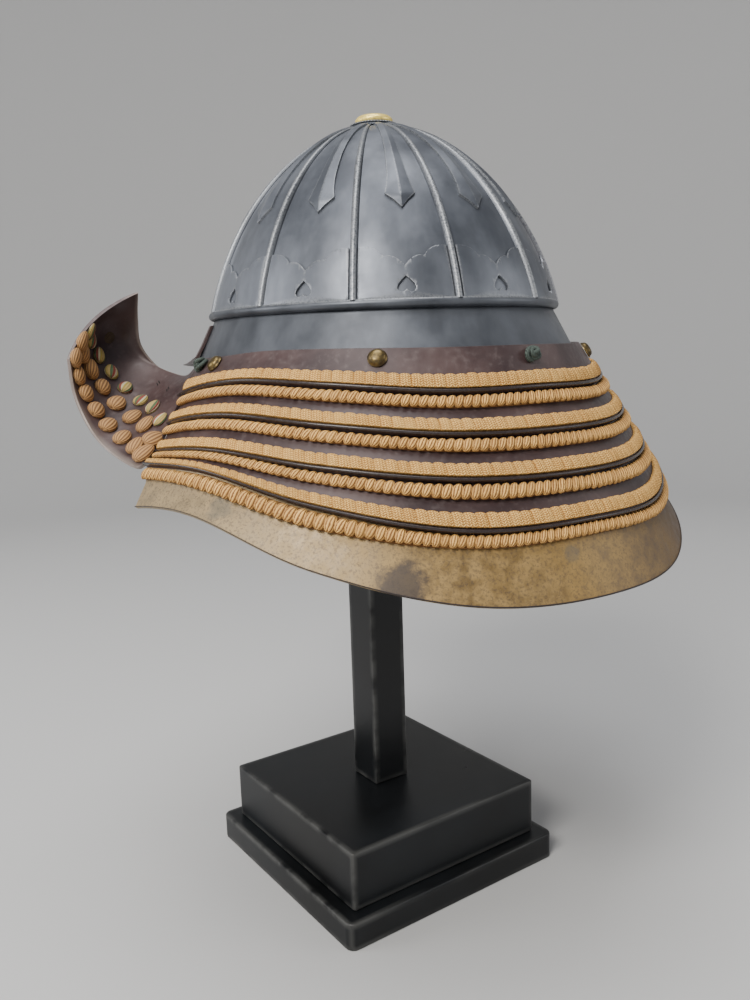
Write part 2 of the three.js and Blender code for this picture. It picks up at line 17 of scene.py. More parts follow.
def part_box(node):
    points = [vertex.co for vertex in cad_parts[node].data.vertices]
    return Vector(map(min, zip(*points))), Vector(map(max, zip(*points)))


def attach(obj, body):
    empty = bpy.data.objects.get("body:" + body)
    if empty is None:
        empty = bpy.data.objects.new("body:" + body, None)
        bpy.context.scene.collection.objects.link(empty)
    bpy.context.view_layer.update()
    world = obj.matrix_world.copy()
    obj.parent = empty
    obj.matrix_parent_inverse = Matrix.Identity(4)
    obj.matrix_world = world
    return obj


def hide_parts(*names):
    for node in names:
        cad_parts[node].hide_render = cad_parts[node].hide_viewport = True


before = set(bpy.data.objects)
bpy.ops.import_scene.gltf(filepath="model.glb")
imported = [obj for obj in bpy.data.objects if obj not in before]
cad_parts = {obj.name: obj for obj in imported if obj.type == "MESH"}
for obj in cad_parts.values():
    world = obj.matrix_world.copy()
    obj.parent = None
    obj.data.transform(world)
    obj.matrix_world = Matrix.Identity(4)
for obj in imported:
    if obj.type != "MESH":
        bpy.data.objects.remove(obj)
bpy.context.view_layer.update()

MM = 0.001
rng = np.random.default_rng(12)

# %% [markdown]
# ## Where things are
# Everything on the helmet is measured from the middle of the bowl's rim. An angle goes round
# from the middle of the back (0 degrees) to the wearer's left (+90).

# %% The helmet's own origin
RIM_LOW, RIM_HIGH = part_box("bowl_rim")
HELMET = (np.array(RIM_LOW) + np.array(RIM_HIGH)) / 2
print("middle of the bowl's rim", HELMET.round(4))


def oval(side, back, angle, height):
    """Points of an oval ring round the helmet, as an array of x, y, z."""
    turn = np.radians(angle)
    rows = [side * np.sin(turn), back * np.cos(turn), height + 0 * turn]
    return HELMET + np.stack(np.broadcast_arrays(*rows), axis=-1)


def unit(vectors):
    return vectors / np.linalg.norm(vectors, axis=-1, keepdims=True)


# %% [markdown]
# ## From a flat grid to a bent plate
# Armour is beaten from flat sheet. The same idea works in a mesh: `create_grid` gives a flat
# sheet with tidy rows, and moving each vertex by a formula bends it. A section that closes on
# itself, such as a rim's, is the same grid with its two long edges welded together.

# %% Helpers for grids and finished pieces
def flat_grid(columns, rows):
    """A grid, with the column and row number of each of its vertices."""
    bm = bmesh.new()
    bmesh.ops.create_grid(bm, x_segments=columns, y_segments=rows, size=0.5)
    place = np.array([v.co[:2] for v in bm.verts]) + 0.5
    return bm, np.rint(place[:, 0] * columns).astype(int), np.rint(place[:, 1] * rows).astype(int)


def move_to(bm, points):
    for vert, point in zip(bm.verts, points):
        vert.co = point


def set_values(bm, name, values):
    """Keeps one number per vertex, for a material to read as an attribute."""
    layer = bm.verts.layers.float.new(name)
    for vert, value in zip(bm.verts, values):
        vert[layer] = value


def set_uv(bm, u, v):
    layer = bm.loops.layers.uv.new("UVMap")
    bm.verts.index_update()
    for face in bm.faces:
        for loop in face.loops:
            loop[layer].uv = (u[loop.vert.index], v[loop.vert.index])


def close_shell(bm, weld=1e-6):
    """Welds what touches, caps the open ends and turns every face outwards."""
    bmesh.ops.remove_doubles(bm, verts=bm.verts, dist=weld)
    edges = [e for e in bm.edges if e.is_boundary]
    bmesh.ops.holes_fill(bm, edges=edges, sides=0)
    bmesh.ops.recalc_face_normals(bm, faces=bm.faces)


def make_piece(name, bm, material, nodes=(), smooth_angle=40):
    """Turns a bmesh into a finished piece that rides on the root body."""
    mesh = bpy.data.meshes.new(name)
    bm.to_mesh(mesh)
    bm.free()
    piece = bpy.data.objects.new(name, mesh)
    bpy.context.scene.collection.objects.link(piece)
    mesh.materials.append(material)
    mesh.shade_smooth()
    mesh.set_sharp_from_angle(angle=math.radians(smooth_angle))
    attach(piece, "root")
    if nodes:
        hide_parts(*nodes)
    return piece


def bands(bm_list):
    """Several bmeshes in one."""
    joined = bmesh.new()
    for bm in bm_list:
        mesh = bpy.data.meshes.new("part")
        bm.to_mesh(mesh)
        bm.free()
        joined.from_mesh(mesh)
        bpy.data.meshes.remove(mesh)
    return joined


# %% [markdown]
# ## Materials as small node trees
# A finish is more than a colour: it has a grain, stains, worn edges and a sheen of its own.
# The helpers below keep each tree short. Patterns read Object coordinates, so that they are
# fixed to the piece, or an attribute or a UV map where they follow a cord.

# %% Node helpers
class Finish:
    """A material with a principled shader, and short calls that add nodes to it."""

    def __init__(self, name, metallic=0.0, roughness=0.5):
        self.material = bpy.data.materials.new(name)
        self.material.use_nodes = True
        self.nodes = self.material.node_tree.nodes
        self.links = self.material.node_tree.links
        self.shader = self.nodes["Principled BSDF"]
        self.shader.inputs["Metallic"].default_value = metallic
        self.shader.inputs["Roughness"].default_value = roughness
        self.coordinates = self.nodes.new("ShaderNodeTexCoord")

    def plug(self, value, socket):
        if isinstance(value, bpy.types.NodeSocket):
            self.links.new(value, socket)
        else:
            socket.default_value = (*value, 1) if isinstance(value, tuple) else value

    def space(self, scale=(1, 1, 1), source="Object"):
        mapping = self.nodes.new("ShaderNodeMapping")
        self.links.new(self.coordinates.outputs[source], mapping.inputs["Vector"])
        mapping.inputs["Scale"].default_value = scale
        return mapping.outputs["Vector"]

    def noise(self, scale, detail=3.0, rough=0.55, vector=None):
        node = self.nodes.new("ShaderNodeTexNoise")
        node.inputs["Scale"].default_value = scale
        node.inputs["Detail"].default_value = detail
        node.inputs["Roughness"].default_value = rough
        self.plug(vector or self.space(), node.inputs["Vector"])
        return node.outputs["Fac"]

    def attribute(self, name):
        node = self.nodes.new("ShaderNodeAttribute")
        node.attribute_name = name
        return node.outputs["Fac"]

    def math(self, operation, a, b=0.0, clamp=False):
        node = self.nodes.new("ShaderNodeMath")
        node.operation = operation
        node.use_clamp = clamp
        self.plug(a, node.inputs[0])
        self.plug(b, node.inputs[1])
        return node.outputs[0]

    def spread(self, value, low, high, to_low=0.0, to_high=1.0):
        """Stretches low..high to to_low..to_high, with soft ends."""
        node = self.nodes.new("ShaderNodeMapRange")
        node.interpolation_type = "SMOOTHSTEP"
        self.plug(value, node.inputs["Value"])
        ends = (low, high, to_low, to_high)
        for socket, number in zip(("From Min", "From Max", "To Min", "To Max"), ends):
            node.inputs[socket].default_value = number
        return node.outputs["Result"]

    def blend(self, share, a, b):
        """Colour a where share is 0 and colour b where it is 1."""
        node = self.nodes.new("ShaderNodeMix")
        node.data_type = "RGBA"
        factor, color_a, color_b = (node.inputs[i] for i in (0, 6, 7))
        self.plug(share, factor)
        self.plug(a, color_a)
        self.plug(b, color_b)
        return node.outputs[2]

    def split(self, vector):
        node = self.nodes.new("ShaderNodeSeparateXYZ")
        self.links.new(vector, node.inputs[0])
        return node.outputs

    def relief(self, *layers):
        """Bump from (height, depth in millimetres, strength) layers."""
        normal = None
        for height, depth, strength in layers:
            node = self.nodes.new("ShaderNodeBump")
            node.inputs["Strength"].default_value = strength
            node.inputs["Distance"].default_value = depth * MM
            self.plug(height, node.inputs["Height"])
            if normal:
                self.links.new(normal, node.inputs["Normal"])
            normal = node.outputs["Normal"]
        self.links.new(normal, self.shader.inputs["Normal"])

    def done(self, color, roughness=None):
        self.plug(color, self.shader.inputs["Base Color"])
        if roughness is not None:
            self.plug(roughness, self.shader.inputs["Roughness"])
        return self.material


# %% [markdown]
# ## Iron
# The bowl is russet iron under thin dark lacquer: blue-grey, satin, cloudy where it was
# handled, a little brown low down at the right, and rubbed bright along standing edges. The
# top of the rolled rim is painted paler as well, a painted highlight broken up like that wear.

# %% Iron finishes
def iron_finish(name="lacquered_iron", dark=1.0):
    iron = Finish(name, metallic=0.55)
    clouds = iron.noise(14, detail=5)
    streaks = iron.noise(60, detail=3, vector=iron.space((1, 1, 0.12)))
    grain = iron.noise(900, detail=2)
    pale = tuple(dark * c for c in (0.175, 0.190, 0.220))
    deep = tuple(dark * c for c in (0.062, 0.069, 0.084))
    brown = tuple(dark * c for c in (0.105, 0.066, 0.072))
    tone = iron.math("ADD", iron.math("MULTIPLY", clouds, 0.65), iron.math("MULTIPLY", streaks, 0.35))
    color = iron.blend(iron.spread(tone, 0.32, 0.68), deep, pale)
    side, _, _ = iron.split(iron.space())
    right = iron.spread(iron.math("ADD", side, iron.math("MULTIPLY", clouds, 0.04)), -0.03, -0.1)
    color = iron.blend(iron.math("MULTIPLY", right, 0.75), color, brown)
    # Marked edges are painted paler: wear along standing edges, and a painted highlight along the rolled rim's top.
    worn = iron.math("MULTIPLY", iron.attribute("edge"), iron.spread(grain, 0.3, 0.6), clamp=True)
    color = iron.blend(worn, color, (0.3, 0.31, 0.32))
    rough = iron.spread(iron.noise(45, detail=4), 0.25, 0.75, 0.34, 0.5)
    iron.relief((clouds, 0.9, 0.3), (grain, 0.06, 0.35))
    return iron.done(color, rough)


LACQUERED_IRON = iron_finish()
DARK_IRON = iron_finish("dark_rim_iron", dark=0.6)
BAND_IRON = iron_finish("waistband_iron", dark=0.62)

# %% [markdown]
# ## The bowl
# Twelve plates meet at the crown. Each has one long edge turned up into a rib, and its other
# edge lies under the next plate's rib. The dome is a formula, so a plate is a grid laid on it:
# the first columns climb over the rib and the rest follow the dome.

# %% The dome's formula
DOME_FOOT, DOME_RISE = -0.021, 0.1368
DOME_SIDE, DOME_BACK = 0.109, 0.1225
FULLNESS, SHOULDER = 1.68, 1.85
PLATES = 12
PITCH = 360 / PLATES
PLATE_TOP = 0.1146


def shrink(height):
    """How much narrower the dome is at a height above its rim."""
    rise = np.clip((height - DOME_FOOT) / DOME_RISE, 0, 0.99999)
    return (1 - rise**FULLNESS) ** (1 / SHOULDER)


def on_dome(angle, height, shift=0.0, lift=0.0):
    """A point at an angle and height, shifted along the ring and lifted off the dome."""
    wide = shrink(height)
    turn = np.radians(angle)
    radius = np.hypot(DOME_SIDE * np.cos(turn), DOME_BACK * np.sin(turn)) * wide
    angle = angle + np.degrees(shift / radius)
    here = oval(DOME_SIDE * wide, DOME_BACK * wide, angle, height)
    beside = oval(DOME_SIDE * wide, DOME_BACK * wide, angle + 0.5, height) - here
    lower = shrink(height - 0.0002)
    under = oval(DOME_SIDE * lower, DOME_BACK * lower, angle, height - 0.0002) - here
    out = unit(np.cross(beside, under))
    return here + out * np.expand_dims(np.broadcast_to(lift, out.shape[:-1]), -1)


HEIGHTS = np.linspace(0, PLATE_TOP, 800)
STEPS = np.hypot(np.diff(HEIGHTS), np.diff(0.5 * (DOME_SIDE + DOME_BACK) * shrink(HEIGHTS)))
ARC = np.concatenate([[0], np.cumsum(STEPS)])
print("a plate measures", round(ARC[-1] / MM, 1), "mm from rim to crown")


def height_at(distance):
    """The height of a point so far up the dome from its rim, along the surface."""
    return np.interp(distance, ARC, HEIGHTS)


# %% One bowl plate
RIB_WIDTH, RIB_HEIGHT, RIB_CROWN = 0.0042, 0.003, 0.0007
PLATE_WALL = 0.002
PLATE_FOOT = 0.0015
RIB_COLUMNS, FACE_COLUMNS, PLATE_ROWS = 12, 16, 44


def face_outwards(bm):
    """Turns an open plate's faces away from the middle of the helmet."""
    bm.normal_update()
    face = bm.faces[:][0]
    if face.normal.dot(face.calc_center_median() - Vector(HELMET)) < 0:
        bmesh.ops.reverse_faces(bm, faces=bm.faces)


def bowl_plate(start):
    columns = RIB_COLUMNS + FACE_COLUMNS
    bm, column, row = flat_grid(columns, PLATE_ROWS)
    height = height_at(PLATE_FOOT + (ARC[-1] - PLATE_FOOT) * row / PLATE_ROWS)
    rib_share = np.clip(column / RIB_COLUMNS, 0, 1)
    face_share = np.clip((column - RIB_COLUMNS) / FACE_COLUMNS, 0, 1)
    width = RIB_WIDTH * np.minimum(1, 0.35 + shrink(height))
    ridge = (1 - np.abs(2 * rib_share - 1) ** 2.4) ** 0.6
    tall = RIB_HEIGHT + (RIB_CROWN - RIB_HEIGHT) * (height / PLATE_TOP) ** 3
    flange = 0.0002 * (1 - rib_share)
    ending = on_dome(start + PITCH, height, -0.0002)
    begin = on_dome(start, height, width * rib_share, tall * ridge + flange)
    foot = shrink(height)
    radius = np.hypot(DOME_SIDE * math.cos(math.radians(start)), DOME_BACK * math.sin(math.radians(start)))
    first = np.degrees(width / (radius * foot))
    face = on_dome(start + first + (PITCH - first) * face_share, height)
    points = np.where((column <= RIB_COLUMNS)[:, None], begin, face)
    points = np.where((column == columns)[:, None], ending, points)
    move_to(bm, points)
    set_values(bm, "edge", 0.85 * np.where(column <= RIB_COLUMNS, ridge, 0))
    face_outwards(bm)
    bmesh.ops.solidify(bm, geom=bm.faces[:], thickness=PLATE_WALL)
    bmesh.ops.recalc_face_normals(bm, faces=bm.faces)
    return bm


for i in range(PLATES):
    number = f"{i + 1:02d}"
    plate = bowl_plate(PITCH / 2 + i * PITCH)
    make_piece(f"iron_plate_{number}", plate, LACQUERED_IRON, [f"bowl_plate_{number}"])
print(PLATES, "bowl plates")

# %% [markdown]
# ## The fence round the bowl's foot
# A thin scalloped plate is set against the foot of every bowl plate, pierced with a heart. It
# is easiest cut flat, as the smith does: an outline and a hole are filled with triangles, sawn
# into small cells so that it can bend, thickened, and then laid on the dome.

# %% Cutting and bending thin plates
def arc(start, pull, end, steps=7):
    """Points of a curved edge from start to end, drawn towards pull. The start is left out."""
    t = np.linspace(0, 1, steps + 1)[1:, None]
    start, pull, end = (np.array(p, float) for p in (start, pull, end))
    return list((1 - t) ** 2 * start + 2 * t * (1 - t) * pull + t**2 * end)


def cut_blank(outline, holes, cell):
    """A flat plate from an outline and holes, sawn into cells, lying in the XY plane."""
    bm = bmesh.new()
    edges = []
    for loop in [outline, *holes]:
        ring = [bm.verts.new((x, y, 0)) for x, y in loop]
        edges += [bm.edges.new((a, b)) for a, b in zip(ring, ring[1:] + ring[:1])]
    bmesh.ops.triangle_fill(bm, use_beauty=True, edges=edges, normal=(0, 0, 1))
    xs, ys = zip(*outline)
    for low, high, axis in ((min(xs), max(xs), 0), (min(ys), max(ys), 1)):
        for cut in np.arange(low + cell[axis], high, cell[axis]):
            plane = [0, 0, 0]
            plane[axis] = 1
            point = [0, 0, 0]
            point[axis] = cut
            geometry = [*bm.verts, *bm.edges, *bm.faces]
            bmesh.ops.bisect_plane(bm, geom=geometry, plane_co=point, plane_no=plane, dist=1e-7)
    return bm


def thicken(bm, wall, round_over):
    """Gives a flat plate its thickness and a rounded upper edge, and marks that edge."""
    made = bmesh.ops.extrude_face_region(bm, geom=bm.faces[:], use_keep_orig=True)
    lifted = [v for v in made["geom"] if isinstance(v, bmesh.types.BMVert)]
    bmesh.ops.translate(bm, verts=lifted, vec=(0, 0, wall))
    bmesh.ops.recalc_face_normals(bm, faces=bm.faces)
    rim = [
        e for e in bm.edges
        if all(v.co.z > wall / 2 for v in e.verts) and e.calc_face_angle(0) > math.radians(60)
    ]
    made = bmesh.ops.bevel(
        bm, geom=rim, offset=round_over, affect="EDGES", segments=2, profile=0.5, material=-1
    )
    near = {v for face in made["faces"] for v in face.verts}
    return [1.0 if v in near else 0.0 for v in bm.verts]


# %% The fence's outline and hearts
FENCE_SIDE, FENCE_NOTCH, FENCE_MIDDLE, FENCE_INNER = 0.030, 0.0245, 0.0195, 0.45
FENCE_FOOT, FENCE_WALL, FENCE_LIFT = 0.002, 0.0012, 0.0003
HEART_WIDE, HEART_HIGH, HEART_PLACE, HEART_NOTCH = 0.011, 0.0085, 0.0095, 0.0016


def heart():
    wide = HEART_WIDE / 2
    low, high = HEART_PLACE - HEART_HIGH / 2, HEART_PLACE + HEART_HIGH / 2
    lobe, flank = low + 0.22 * HEART_HIGH, low + 0.5 * HEART_HIGH
    half = [(0, high)]
    half += arc((0, high), (-wide * 0.95, flank), (-wide * 0.92, lobe), 5)
    half += arc((-wide * 0.92, lobe), (-wide * 0.55, low - HEART_NOTCH), (0, low + HEART_NOTCH), 5)
    return half + [(-x, y) for x, y in half[-2:0:-1]]


def fence_outline(half):
    inner = half * FENCE_INNER
    bulge = inner + 0.3 * (half - inner)
    right = [(0, FENCE_FOOT), (half, FENCE_FOOT), (half, FENCE_SIDE)]
    right += arc(right[-1], (bulge, FENCE_SIDE + 0.001), (inner, FENCE_NOTCH))
    right += arc(right[-1], (inner / 2, FENCE_NOTCH + 0.0018), (0, FENCE_MIDDLE))
    return right + [(-x, y) for x, y in right[-2:0:-1]]


FENCE_GAPS = 0.0046, 0.0007
for i in range(PLATES):
    start = PITCH / 2 + i * PITCH
    edge = on_dome(np.array([start, start + PITCH]), HEART_PLACE)
    half = np.linalg.norm(edge[1] - edge[0]) / 2 - 0.002
    blank = cut_blank(fence_outline(half), [heart()], (0.0022, 0.0035))
    marks = thicken(blank, FENCE_WALL, 0.00035)
    flat = np.array([v.co for v in blank.verts])
    height = flat[:, 1]
    share = (flat[:, 0] / half + 1) / 2
    lift = FENCE_LIFT + flat[:, 2]
    first = on_dome(start, height, FENCE_GAPS[0], lift)
    middle = on_dome(start + PITCH / 2, height, 0, lift)
    radius = np.hypot(
        DOME_SIDE * math.cos(math.radians(start)), DOME_BACK * math.sin(math.radians(start))
    ) * shrink(height)
    low = start + np.degrees(FENCE_GAPS[0] / radius)
    high = start + PITCH - np.degrees(FENCE_GAPS[1] / radius)
    move_to(blank, on_dome(low + (high - low) * share, height, 0, lift))
    set_values(blank, "edge", [0.5 * m for m in marks])
    bmesh.ops.recalc_face_normals(blank, faces=blank.faces)
    number = f"{i + 1:02d}"
    make_piece(f"fence_{number}", blank, LACQUERED_IRON, [f"fence_plate_{number}"], 30)
print(PLATES, "fence plates, each pierced with a heart")

# %% [markdown]
# ## Blades, collar and button
# A keeled blade runs down the middle of each plate. Its outline is cut flat as the fence was,
# the line down its middle is raised into a keel, and it is laid on the dome from the crown.

# %% Twelve crown blades on one hub
BLADE_TOP, BLADE_BARB, BLADE_TIP = 0.1142, 0.0600, 0.0520
BLADE_HALF = np.array([[0.0520, 0.0002], [0.0560, 0.0036], [0.0600, 0.0084], [0.066, 0.0066],
                       [0.072, 0.0054], [0.088, 0.0038], [0.101, 0.0030], [0.1142, 0.0024]])
BLADE_LIFT, BLADE_WALL = 0.0004, 0.0009
BLADE_ROWS, BLADE_COLUMNS = 40, 8


def crown_blade(angle):
    """A closed shell round one blade: its upper side has a keel and its edges are thin."""
    bm, column, row = flat_grid(2 * BLADE_COLUMNS, BLADE_ROWS)
    low, high = np.interp([BLADE_TIP, BLADE_TOP], HEIGHTS, ARC)
    barb = np.interp(BLADE_BARB, HEIGHTS, ARC)
    tip_rows = 8
    distance = np.where(
        row <= tip_rows,
        low + (barb - low) * row / tip_rows,
        barb + (high - barb) * (row - tip_rows) / (BLADE_ROWS - tip_rows),
    )
    height = height_at(distance)
    share = column / BLADE_COLUMNS - 1
    half = np.interp(height, BLADE_HALF[:, 0], BLADE_HALF[:, 1])
    keel = 0.0013 * np.clip(half / 0.006, 0.35, 1)
    lift = BLADE_LIFT + BLADE_WALL + keel * (1 - np.abs(share))
    move_to(bm, on_dome(angle, height, share * half, lift))
    edge = np.maximum(np.abs(share) > 0.99, row == 0)
    set_values(bm, "edge", 0.5 * edge + 0.35 * (np.abs(share) < 0.01))
    made = bmesh.ops.extrude_edge_only(bm, edges=[e for e in bm.edges if e.is_boundary])
    skirt = [v for v in made["geom"] if isinstance(v, bmesh.types.BMVert)]
    for vert in skirt:
        vert.co += (Vector(HELMET) - Vector((0, 0, 0.02)) - vert.co).normalized() * (BLADE_WALL + BLADE_LIFT)
    bmesh.ops.recalc_face_normals(bm, faces=bm.faces)
    return bm


def turned(profile, sides=64):
    """A round piece: its profile of (radius, height) is spun about the helmet's own axis."""
    bm = bmesh.new()
    ring = [bm.verts.new((r, 0, z)) for r, z in profile]
    edges = [bm.edges.new(pair) for pair in zip(ring, ring[1:])]
    bmesh.ops.spin(
        bm, geom=ring + edges, axis=(0, 0, 1), cent=(0, 0, 0), angle=math.tau, steps=sides, use_merge=True
    )
    bmesh.ops.remove_doubles(bm, verts=bm.verts, dist=1e-6)
    bmesh.ops.recalc_face_normals(bm, faces=bm.faces)
    return bm


HUB_RADIUS, HUB_LOW, HUB_HIGH = 0.0152, 0.1143, 0.1161
hub = turned([(0, HUB_LOW), (HUB_RADIUS - 0.001, HUB_LOW), (HUB_RADIUS, HUB_LOW + 0.0006),
              (HUB_RADIUS - 0.0006, HUB_HIGH), (0, HUB_HIGH)])
bmesh.ops.translate(hub, verts=hub.verts, vec=HELMET)
set_values(hub, "edge", [0.0] * len(hub.verts))
blades = bands([hub] + [crown_blade(i * PITCH) for i in range(PLATES)])
make_piece("keeled_blades", blades, LACQUERED_IRON, ["crown_blades"], 28)

# %% Collar with a ring of fine petals, and the gilt button
COLLAR_LOW = HUB_HIGH + 0.0001
PETALS = 48
collar = turned([(0, 0), (0.0150, 0), (0.0158, 0.0003), (0.0156, 0.0007), (0.0146, 0.0011),
                 (0.0131, 0.0013), (0.0126, 0.0016), (0, 0.0016)], sides=PETALS * 6)
for vert in collar.verts:
    radius = math.hypot(vert.co.x, vert.co.y)
    turn = math.atan2(vert.co.y, vert.co.x)
    if radius > 0.0128:
        dent = 1 - 0.035 * (1 - abs(math.sin(PETALS / 2 * turn))) ** 2
        vert.co.x *= dent
        vert.co.y *= dent
set_values(collar, "edge", [0.5 if math.hypot(v.co.x, v.co.y) > 0.0145 else 0.0 for v in collar.verts])
bmesh.ops.translate(collar, verts=collar.verts, vec=HELMET + (0, 0, COLLAR_LOW))
make_piece("petal_collar", collar, LACQUERED_IRON, ["crown_collar"], 35)

gilt = Finish("old_gilt", metallic=0.5)
wear = gilt.noise(420, detail=5)
color = gilt.blend(gilt.spread(wear, 0.42, 0.7), (0.98, 0.76, 0.20), (0.62, 0.46, 0.13))
gilt.relief((wear, 0.12, 0.3))
OLD_GILT = gilt.done(color, gilt.spread(wear, 0.3, 0.7, 0.28, 0.5))

BUTTON_LOW = COLLAR_LOW + 0.0015
button = turned([(0, 0), (0.0113, 0), (0.0120, 0.0007), (0.0121, 0.0020), (0.0118, 0.0028), (0.0112, 0.0033),
                 (0.0108, 0.0039), (0.0098, 0.0045), (0.0080, 0.0049), (0.0055, 0.0051), (0.0028, 0.0052),
                 (0, 0.0052)])
bmesh.ops.translate(button, verts=button.verts, vec=HELMET + (0, 0, BUTTON_LOW))
make_piece("gilt_button", button, OLD_GILT, ["crown_button"], 50)

# %% [markdown]
# ## Rolled rim, waistband and peak
# Three rings share the bowl's oval: a rolled iron rim, the waistband that carries the neck
# guard, and the peak over the brow. Each is one section swept round, so one helper sweeps them.

# %% Sweeping a section
def sweep(stations, section, place, **marks):
    """A shell with a section of (a, b) points at each station. place(station, a, b) puts it.
    marks name a value for each point of the section, which a material reads."""
    size = len(section)
    bm, column, row = flat_grid(len(stations) - 1, size)
    a, b = np.array(section, float).T
    move_to(bm, place(stations[column], a[row % size], b[row % size]))
    for name, values in marks.items():
        set_values(bm, name, np.array(values)[row % size])
    close_shell(bm)
    return bm


def round_section(radius, sides=12):
    turns = np.arange(sides) * math.tau / sides
    return list(zip(radius * np.cos(turns), radius * np.sin(turns)))


ROUND = np.linspace(0, 360, 181)
RIM_SIDE, RIM_BACK, RIM_RADIUS = 0.1062, 0.1194, 0.0028
section = round_section(RIM_RADIUS)
# The upper half of the rim's section is marked to be painted paler: a painted highlight along the rim's top, broken
# up like wear.
lit_top_and_wear = [0.8 if height > RIM_RADIUS / 2 else 0.0 for _, height in section]
rim = sweep(ROUND, section, lambda angle, a, b: oval(RIM_SIDE + a, RIM_BACK + a, angle, b), edge=lit_top_and_wear)
make_piece("rolled_rim", rim, DARK_IRON, ["bowl_rim"])

# %% Waistband and peak
WAIST_TOP, WAIST_FOOT = -0.0027, -0.030
WAIST_SIDES, WAIST_BACKS = (0.1054, 0.118), (0.1184, 0.134)
WAIST_WALL = 0.002


def on_waist(angle, height, out):
    share = (WAIST_TOP - height) / (WAIST_TOP - WAIST_FOOT)
    side = WAIST_SIDES[0] + share * (WAIST_SIDES[1] - WAIST_SIDES[0]) + out
    back = WAIST_BACKS[0] + share * (WAIST_BACKS[1] - WAIST_BACKS[0]) + out
    return oval(side, back, angle, height)


lacquer = Finish("brown_lacquer", metallic=0.15)
mottle = lacquer.noise(22, detail=6)
scuff = lacquer.noise(260, detail=4)
speck = lacquer.noise(1100, detail=1)
color = lacquer.blend(lacquer.spread(mottle, 0.3, 0.72), (0.032, 0.018, 0.019), (0.080, 0.051, 0.049))
dusty = lacquer.math("MULTIPLY", lacquer.spread(scuff, 0.5, 0.8), 0.35)
color = lacquer.blend(dusty, color, (0.14, 0.11, 0.105))
# The edge attribute is set only on the wings, and it paints their edges pale: a painted highlight.
color = lacquer.blend(lacquer.math("MULTIPLY", lacquer.attribute("edge"), 0.6), color, (0.28, 0.23, 0.20))
rim_mask = lacquer.attribute("rim")
color = lacquer.blend(rim_mask, color, (0.030, 0.022, 0.022))
rough = lacquer.spread(scuff, 0.25, 0.75, 0.34, 0.52)
rough = lacquer.math("SUBTRACT", rough, lacquer.math("MULTIPLY", rim_mask, 0.17))
lacquer.relief((mottle, 0.5, 0.25), (speck, 0.05, 0.25))
BROWN_LACQUER = lacquer.done(color, rough)

band_section = [(WAIST_TOP, -WAIST_WALL), (WAIST_TOP, 0), (-0.0166, 0), (WAIST_FOOT, 0), (WAIST_FOOT, -WAIST_WALL)]
waistband = sweep(ROUND, band_section, lambda angle, height, out: on_waist(angle, height, out))
make_piece("iron_waistband", waistband, BAND_IRON, ["waistband"], 30)

PEAK_TURN = np.array([0, 18, 36, 54, 70])
PEAK_REACH = np.array([0.041, 0.037, 0.022, 0.003, 0.001])
PEAK_EDGE = np.array([-0.0335, -0.033, -0.031, -0.029, -0.026])
PEAK_TOP, PEAK_BEND, PEAK_WALL, PEAK_GAP = -0.006, -0.017, 0.0018, 0.0003


def smooth_value(knots, values, x):
    """A smooth line through values at rising knots, level at the first one."""
    last = len(knots) - 1
    at = np.clip(x, knots[0], knots[last])
    i = np.clip(np.searchsorted(knots, at), 1, last)
    nxt = np.minimum(np.arange(last + 1) + 1, last)
    before = np.maximum(np.arange(last + 1) - 1, 0)
    slope = (values[nxt] - values[before]) / np.maximum(knots[nxt] - knots[before], 1e-9)
    slope[0] = 0
    span = knots[i] - knots[i - 1]
    t = (at - knots[i - 1]) / span
    rise = values[i] - values[i - 1]
    pull, push = slope[i - 1] * span, slope[i] * span
    return values[i - 1] + t * pull + t**2 * (3 * rise - 2 * pull - push) + t**3 * (pull + push - 2 * rise)


def on_peak(from_front, down, out):
    """down runs from the peak's top edge (0) through its bend (1) to its lip (2)."""
    turn = np.abs(from_front)
    reach = smooth_value(PEAK_TURN, PEAK_REACH, turn)
    edge = smooth_value(PEAK_TURN, PEAK_EDGE, turn)
    upper = PEAK_TOP + (PEAK_BEND - PEAK_TOP) * np.minimum(down, 1)
    lower = PEAK_BEND + (edge - PEAK_BEND) * (down - 1)
    height = np.where(down < 1, upper, lower)
    bow = np.clip(down - 1, 0, 1)
    forward = reach * np.where(down < 1, 0.12 * down, 0.12 + 0.88 * (0.75 * bow + 0.25 * bow**2))
    return on_waist(180 + from_front, height, PEAK_GAP + forward + out)


PEAK_LIP = 0.0022
lip = [(2 + 0.02 * math.cos(a), PEAK_WALL / 2 + PEAK_LIP * math.sin(a)) for a in np.linspace(-1.6, 1.6, 9)[::-1]]
outer = [(d, PEAK_WALL) for d in (0, 0.5, 1, 1.25, 1.5, 1.75, 1.93)]
inner = [(d, 0) for d in (1.93, 1.75, 1.5, 1.25, 1, 0.5, 0)]
peak = sweep(np.linspace(-70, 70, 113), outer + lip + inner, on_peak)
make_piece("brow_peak", peak, BROWN_LACQUER, ["peak"], 35)
print("rim, waistband and peak")

# %% [markdown]
# ## The neck guard's lines
# Five lames hang in rings that widen downwards. Each ring is an oval with its own drop under
# the bowl's rim, which changes from the back to the sides. A point on the guard has a row (0
# at the top edge, 1 at the first lame's rim and so on) and a place along it, from the right
# end (-1) to the left end (+1).

# %% Rings of the neck guard
DROP_TURNS = np.array([0, 25, 50, 70, 85, 104])
RING_SIDE = np.array([119.5, 136.5, 148.5, 160, 171, 172.5, 181]) * MM
RING_BACK = np.array([135.5, 148.5, 162, 175, 186.5, 189.5, 200]) * MM
RING_END = np.array([101, 98, 95, 92, 89, 88, 87])
RING_DROP = np.array([
    [24, 24, 23, 23, 25, 26.5],
    [47, 47, 42, 39, 42, 50],
    [69, 68, 62, 57, 59.5, 68],
    [91, 89.5, 82, 75, 76.5, 84],
    [114, 113.5, 99.5, 84, 83, 88],
    [122, 122.5, 112, 96, 93, 104],
    [150.5, 147, 128, 105, 105, 119],
]) * MM
LAMES = 5
LAME_WALL = 0.0018
RIM_BAND = 0.085
TUCKED, FACE, RIM_LIFT = -0.0039, -0.0015, 0.0006


